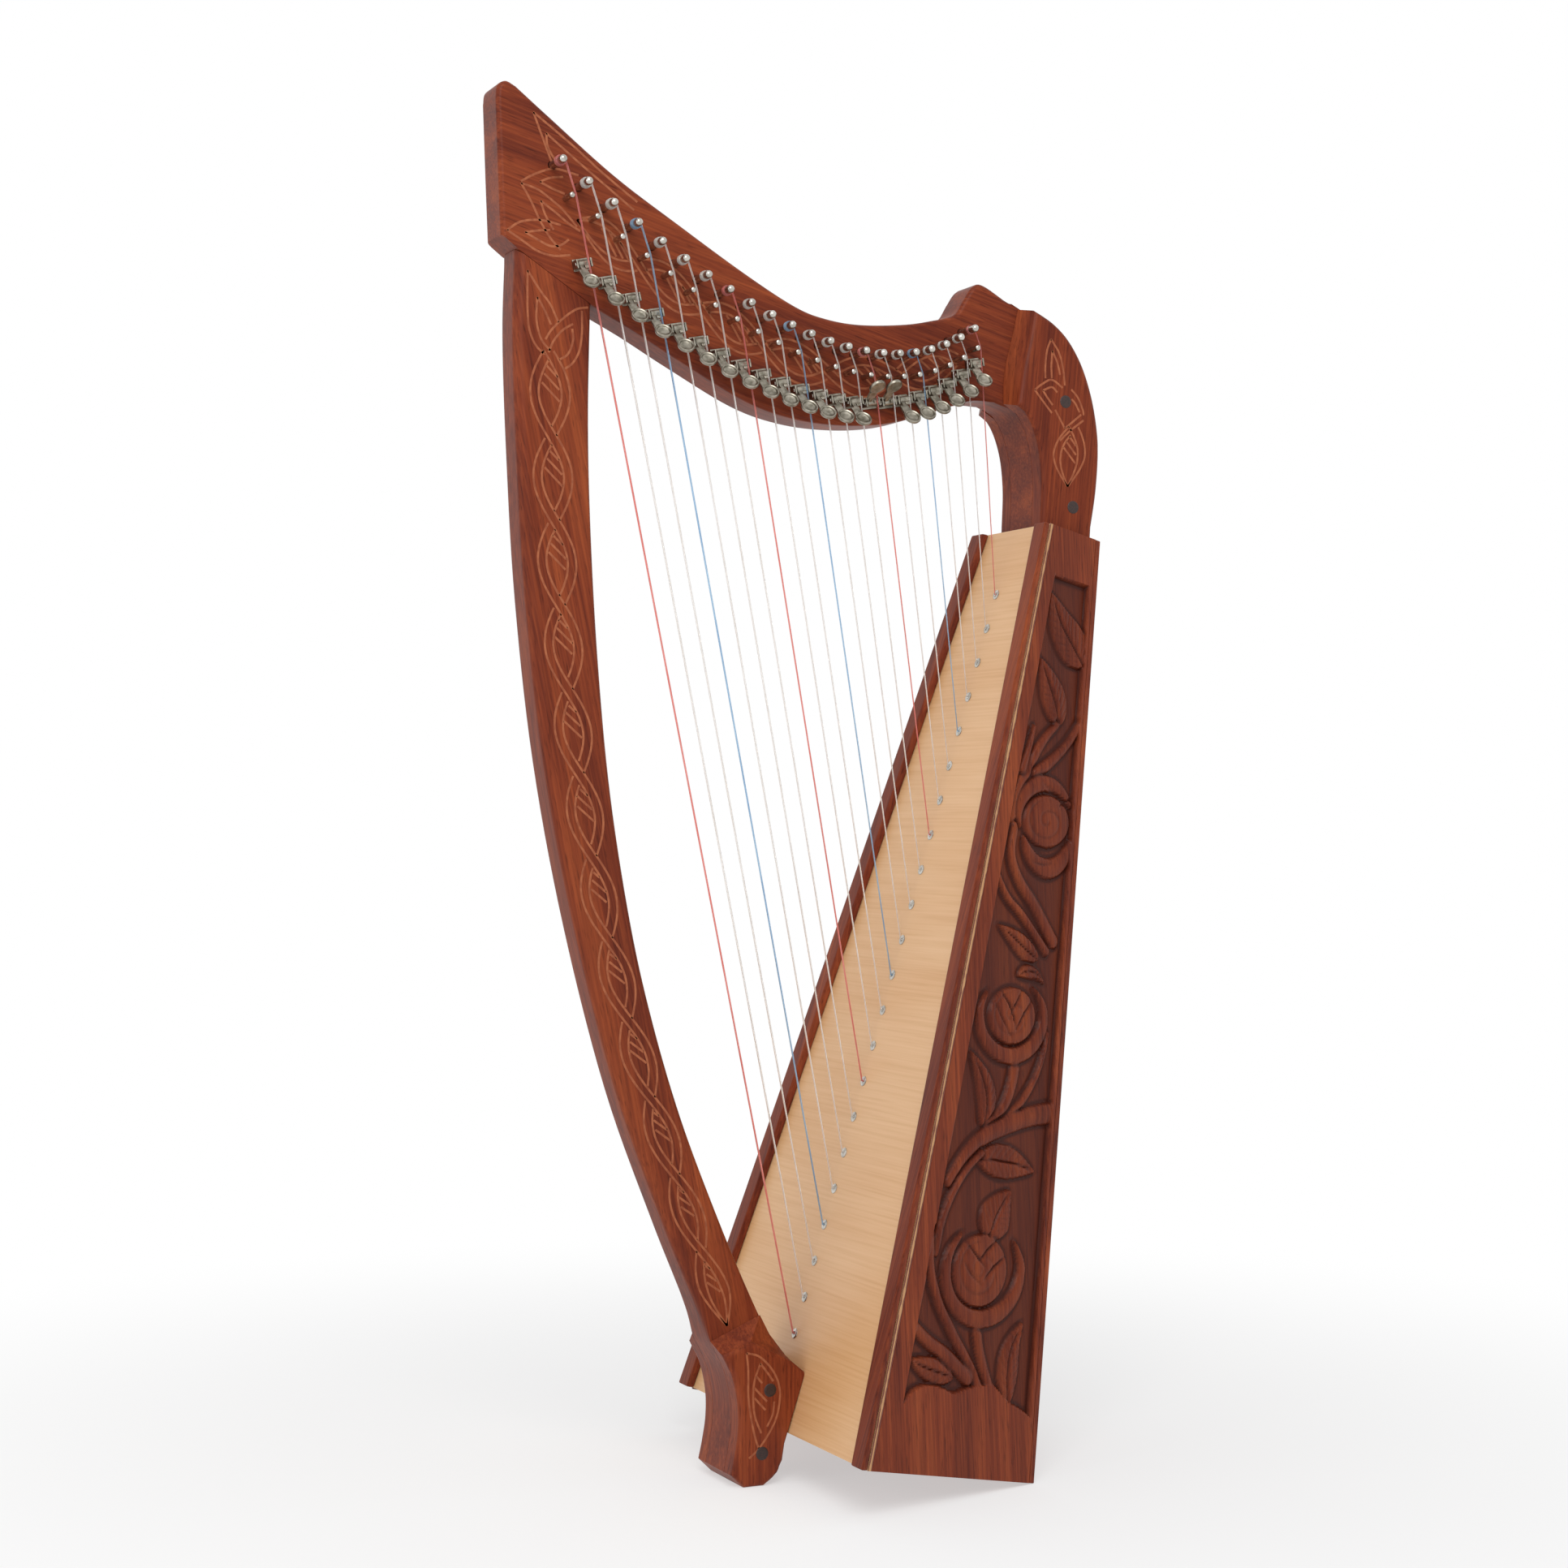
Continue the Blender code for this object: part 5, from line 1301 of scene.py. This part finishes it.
FOOT_LEAF = spot_lines("""
-47.1 80.5  -39.1 77.9  -32.1 71.5  -26.8 62.9  -25.1 53  -27.3 41  -32.1 31.8  -39.1 22.8  -45.5 17.6
-47.1 80.5  -46 69.4  -46 54.9  -44.4 42.7  -41.7 30.3  -39.1 22.8
-38 73.5  -33.2 67.3  -29.6 62.2
-38 73.5  -41.7 64.2  -42.8 54.6  -41.7 42.4  -37.5 31.9
-40.6 66  -36.8 61.6
-41.9 59.2  -33.7 50.4
-41.9 53.2  -34.7 45.4
-28.9 50  -30 42.3  -33.7 35.4
""")

CUT_WIDTH = 1.3 * MM


def cut_ornament(name, curves, straight_runs, face):
    """ribbons a hair above a flat face, for curves in millimetres and for finished runs in metres"""
    points, lines = [], []
    for run in [smooth(curve, 6) for curve in curves] + straight_runs:
        lines += [(len(points) + k, len(points) + k + 1) for k in range(len(run) - 1)]
        points += [(p.x, face, p.y) for p in run]
    made = grown(name, points, ribbons_on_lines, {"Width": CUT_WIDTH, "Skin": cut_wood}, lines)
    lay_grain(made.data, Vector((0, 0, 1)), ALONG_Y)
    finish(made)


for label, side in (("near", -1), ("far", 1)):
    on_plank, on_cheek = side * PLANK_THICKNESS / 2, side * (PLANK_THICKNESS / 2 + CHEEK_THICKNESS)
    cut_ornament("cut_ornament_pillar_" + label, PILLAR_LEAVES, pillar_twist, on_plank)
    cut_ornament("cut_ornament_neck_" + label, HEAD_LEAVES, neck_twist, on_plank)
    cut_ornament("cut_ornament_shoulder_" + label, SHOULDER_CUTS, shoulder_twist, on_cheek)
    cut_ornament("cut_ornament_foot_" + label, FOOT_LEAF, [], on_cheek)

# %% [markdown]
# ## Soundboard, eyelets and strings
# The soundboard is a thin flat sheet, cut by the same planes as the box, so it closes it without a gap. A
# metal eyelet lines every hole so that the string doesn't cut into the wood. It is turned on a lathe, and so
# a profile carried round an axis makes it. The strings are straight tubes from the rib behind the board to
# the bridge pin and on to the tuning pin, each with its own thickness, thinner towards the treble.

# %% Soundboard
def lathe(bm, profile, sides, place=None):
    """a closed turned shape from (radius, height) pairs in millimetres, about the way z"""
    rings = []
    for radius, height in profile:
        angles = [2 * math.pi * k / sides for k in range(sides)]
        rings.append([bm.verts.new((radius * MM * math.cos(a), radius * MM * math.sin(a), height * MM))
                      for a in angles])
    close_rings(bm, rings)
    if place is not None:
        bmesh.ops.transform(bm, matrix=place, verts=[v for ring in rings for v in ring])


face = cut_solid([board_plane, facing_in(board_plane, -BOARD_THICKNESS), near_side, far_side, top_plane,
                  base_plane])
board = as_object("birch_soundboard", face, birch)
board.data.materials.append(birch_edge)
lay_grain(board.data, ALONG_Y, board_plane[1])
shift = board_plane[0].dot(board_plane[1])
grain = np.zeros(len(board.data.vertices) * 3, np.float32)
board.data.attributes["grain"].data.foreach_get("vector", grain)
grain[2::3] -= shift
board.data.attributes["grain"].data.foreach_set("vector", grain)
for polygon in board.data.polygons:
    polygon.material_index = 0 if abs(polygon.normal.dot(board_plane[1])) > 0.9 else 1
finish(board, ["soundboard"])

# %% Eyelets
eyelet_shape = bmesh.new()
lathe(eyelet_shape, spots("1 -0.4  2.6 -0.4  3.2 0.05  3.1 0.45  2.6 0.75  1.9 0.8  1.3 0.55  1 0.1"), 20)
turns = [(0, BOARD_LEAN - math.pi / 2, 0)] * STRING_COUNT
eyelets = copied("string_eyelets", as_object("eyelet_pattern", eyelet_shape, nickel_steel),
                 [s["eyelet"] for s in strings], turns, nickel_steel)
finish(eyelets)

# %% Strings and their rib
RIB_WIDTH = 15.0 * MM
RIB_THICKNESS = 6.0 * MM
behind = -BOARD_THICKNESS - SEAT_GAP
walls = [(Vector((0, side * RIB_WIDTH / 2, 0)), Vector((0, side, 0))) for side in (-1, 1)]
ends = [moved(base_plane, -BASE_THICKNESS - SEAT_GAP), moved(top_plane, -TOP_BLOCK_HEIGHT - SEAT_GAP)]
rib = cut_solid([moved(board_plane, behind), facing_in(board_plane, behind - RIB_THICKNESS), *walls, *ends])
rib = eased(as_object("string_rib", rib, stained_wood), FINE_SANDING)
wooden(rib, board_up, board_plane[1], 9.1, "strings_on_rib")


def string_skin(index):
    """C strings are red and F strings blue, seven notes apart"""
    return {0: red_nylon, 3: blue_nylon}.get(index % 7, clear_nylon)


def in_string_plane(point):
    """the point moved into the plane in which all strings run"""
    return Vector((point.x, STRING_Y, point.z))


for skin in (clear_nylon, red_nylon, blue_nylon):
    paths = []
    for index, string in enumerate(strings):
        if string_skin(index) is skin:
            root = string["eyelet"] + board_plane[1] * (behind - RIB_THICKNESS / 2)
            mouth = string["eyelet"] + board_plane[1] * (EYELET_HEIGHT + string["radius"])
            paths.append(([root, mouth, in_string_plane(string["bend"]), in_string_plane(string["end"])],
                          string["radius"]))
    finish(tubes_along("strings_of_" + skin.name, paths, skin, 10))

# %% [markdown]
# ## Pins
# Each tuning pin is a steel bar with a squared end for the key on the far side and a drilled tip on the near
# side. Its string passes through a hole near the tip and winds on it in close turns. The bridge pins are
# short pegs with a groove that keeps the string in its place.

# %% Bridge pins
half = PLANK_THICKNESS / 2
towards_player = Matrix.Rotation(math.pi / 2, 4, "X")
from_face = towards_player @ Matrix.Translation((0, 0, half))
bridge_shape = bmesh.new()
lathe(bridge_shape, spots("1.7 -2  1.7 10.1  1.45 10.6  1.45 11.2  1.7 11.6  1.55 12.1  1.1 12.45  0.5 12.6"),
      20, from_face)
pegs = [(s["bridge"].x, 0, s["bridge"].z) for s in strings]
bridges = copied("bridge_pegs", as_object("bridge_pattern", bridge_shape, nickel_steel), pegs,
                 [(0, 0, 0)] * STRING_COUNT, nickel_steel)
finish(bridges)

# %% Tuning pins
KEY_SIDE = 3.4 * MM
KEY_OUTLINE = spots("1 0.6  0.6 1  -0.6 1  -1 0.6  -1 -0.6  -0.6 -1  0.6 -1  1 -0.6")


def tuning_pin(string):
    """a pin with a domed tip and a squared key end, turned to where its string arrives"""
    bm = bmesh.new()
    lathe(bm, spots("1.9 -28.6  2.4 -27.8  2.4 18  2.25 18.7  1.9 19.3  1.3 19.75  0.6 19.97  0.2 20"), 24,
          from_face)
    rings = []
    for y, size in ((half + 0.9 * MM, 1.0), (half + 13.2 * MM, 1.0), (half + 14.0 * MM, 0.75)):
        reach = KEY_SIDE / 2 * size
        rings.append([bm.verts.new((x * reach, y, z * reach)) for x, z in KEY_OUTLINE])
    close_rings(bm, rings)
    bmesh.ops.rotate(bm, cent=(0, 0, 0), matrix=Matrix.Rotation(-string["phase"], 3, "Y"), verts=bm.verts)
    bmesh.ops.translate(bm, vec=(string["tuning"].x, 0, string["tuning"].z), verts=bm.verts)
    return bm


WINDING_TURNS = 3.2
TURN_STEPS = 20


def winding(string):
    """the wound string's centre line, from where the string arrives to the hole near the tip"""
    radius = TUNING_PIN_RADIUS - WINDING_SINK + string["radius"]
    pitch = 2 * string["radius"] + 0.06 * MM
    centre = string["tuning"]
    path = []
    for step in range(round(WINDING_TURNS * TURN_STEPS) + 1):
        angle = string["phase"] + 2 * math.pi * step / TURN_STEPS
        path.append(Vector((centre.x + radius * math.cos(angle), STRING_Y - pitch * step / TURN_STEPS,
                            centre.z + radius * math.sin(angle))))
    return path


for index, string in enumerate(strings):
    name = "tuning_pin_" + string["name"]
    finish(as_object(name + "_steel", tuning_pin(string), nickel_steel), [name], name)
    coil = tubes_along(name + "_winding", [(winding(string), string["radius"])], string_skin(index), 8)
    finish(coil, (), name)

# %% [markdown]
# ## Sharping levers
# A lever raises its string by a semitone: its cam presses on the string a semitone's length below the
# bridge pin. Most hang down, and two are raised. A bracket with two ears holds the axle, and the player
# turns the round, dished handle.

# %% Brackets
def block(bm, low, high):
    """a box from corner to corner"""
    size, middle = Vector(high) - Vector(low), (Vector(high) + Vector(low)) / 2
    bmesh.ops.create_cube(bm, size=1.0, matrix=Matrix.Translation(middle) @ Matrix.Diagonal((*size, 1.0)))


def both_ends(profile, low, high):
    """one end's turned profile at low and, the other way round, at high"""
    points = spots(profile)
    return ([(radius, low / MM + reach) for radius, reach in points]
            + [(radius, high / MM - reach) for radius, reach in reversed(points)])


HUB_BASS, HUB_TREBLE = -5.2 * MM, 1.8 * MM
EAR = 1.2 * MM
to_neck = 5.2 * MM
plate = bmesh.new()
bass_end, treble_end = HUB_BASS - SEAT_GAP - EAR, HUB_TREBLE + SEAT_GAP + EAR
block(plate, (bass_end, to_neck - EAR, -3.6 * MM), (treble_end, to_neck + EAR, 3.6 * MM))
for low_x in (bass_end, treble_end - EAR):
    block(plate, (low_x, to_neck - 7.4 * MM, -2.6 * MM), (low_x + EAR, to_neck, 2.6 * MM))
pattern = eased(as_object("bracket_pattern", plate, nickel_silver), 0.45 * MM)
turns = [(0, -s["tilt"], 0) for s in strings]
pivots = [s["pivot"] for s in strings]
finish(copied("lever_brackets", pattern, pivots, turns, nickel_silver))

axle = bmesh.new()
along_x = Matrix.Rotation(math.pi / 2, 4, "Y")
lathe(axle, both_ends("0.9 -0.4  1.2 -0.1  1.2 0  0.8 0.01", bass_end, treble_end), 14, along_x)
finish(copied("lever_axles", as_object("axle_pattern", axle, nickel_steel), pivots, turns, nickel_steel))

# %% Lever
def handle(bm):
    """the round handle, its dished side up, on the bass side of the hub"""
    profile = spots("0.55 -1.2  0.93 -0.9  1 -0.2  1 0.6  0.95 1.1  0.86 1.2  0.76 0.9  0.68 0.1  0.5 -0.25"
                    "  0.2 -0.35")
    size = Matrix.Diagonal((5.2, 5.5, 1.0, 1.0))
    lathe(bm, profile, 32, Matrix.Translation((-3.3 * MM, -15.5 * MM, 0)) @ size)


def lever_pattern():
    """the lever with its handle level: hub, cam, arm and handle"""
    bm = bmesh.new()
    lathe(bm, both_ends("1.15 0  1.8 0  2.1 0.3", HUB_BASS, HUB_TREBLE), 24, along_x)
    handle(bm)
    hub = as_object("lever_pattern", bm, nickel_silver)
    arms = bmesh.new()
    block(arms, (HUB_BASS + 0.05 * MM, -11.5 * MM, -0.9 * MM), (HUB_BASS + 2.6 * MM, -1.2 * MM, 0.9 * MM))
    cam = bmesh.new()
    block(cam, (-1.5 * MM, -3.4 * MM, -1.05 * MM), (1.5 * MM, -1.0 * MM, 1.05 * MM))
    bmesh.ops.rotate(cam, cent=(0, 0, 0), matrix=Matrix.Rotation(math.radians(30), 3, "X"), verts=cam.verts)
    block(arms, (HUB_BASS - 1.9 * MM, -11.5 * MM, -1.0 * MM), (HUB_BASS + 3.4 * MM, -5.2 * MM, 0.8 * MM))
    extras = [eased(as_object("lever_arm", arms, nickel_silver), FINE_SANDING),
              eased(as_object("lever_cam", cam, nickel_silver), FINE_SANDING)]
    whole = bmesh.new()
    for part in (hub, *extras):
        whole.from_mesh(part.data)
        bpy.data.objects.remove(part, do_unlink=True)
    return whole


pattern = lever_pattern()
for index, string in enumerate(strings):
    name = "lever_" + string["name"]
    angle = math.radians(-30 if index + 1 in (15, 16) else 50)
    up, across = tilted(string["tilt"])
    place = Matrix.Translation(string["pivot"]) @ Matrix((across, ALONG_Y, up)).transposed().to_4x4()
    bm = pattern.copy()
    bmesh.ops.transform(bm, matrix=place @ Matrix.Rotation(angle, 4, "X"), verts=bm.verts)
    finish(as_object(name + "_metal", bm, nickel_silver), [name], name)
print("levers made:", STRING_COUNT, "with", len(pattern.faces), "faces each")
pattern.free()

# %% [markdown]
# ## Plugs over the bolts
# Each cheek is bolted through its plank. A low, slightly domed plug of dark wood closes the hole over each
# bolt. It is turned too, so one small profile makes all of them.

# %% Plugs
plug_shape = bmesh.new()
lathe(plug_shape, spots("4 -1  4 0.1  3.6 0.35  2.4 0.4"), 28, towards_player)
points, turns = [], []
for x, z in FOOT_PLUGS + SHOULDER_PLUGS:
    for side in (-1, 1):
        points.append((x * MM, side * (half + CHEEK_THICKNESS), z * MM))
        turns.append((0, 0, 0) if side < 0 else (0, 0, math.pi))
plugs = copied("bolt_plugs", as_object("plug_pattern", plug_shape, dark_plug), points, turns, dark_plug)
lay_grain(plugs.data, ALONG_Y, Vector((1, 0, 0)))
finish(plugs)
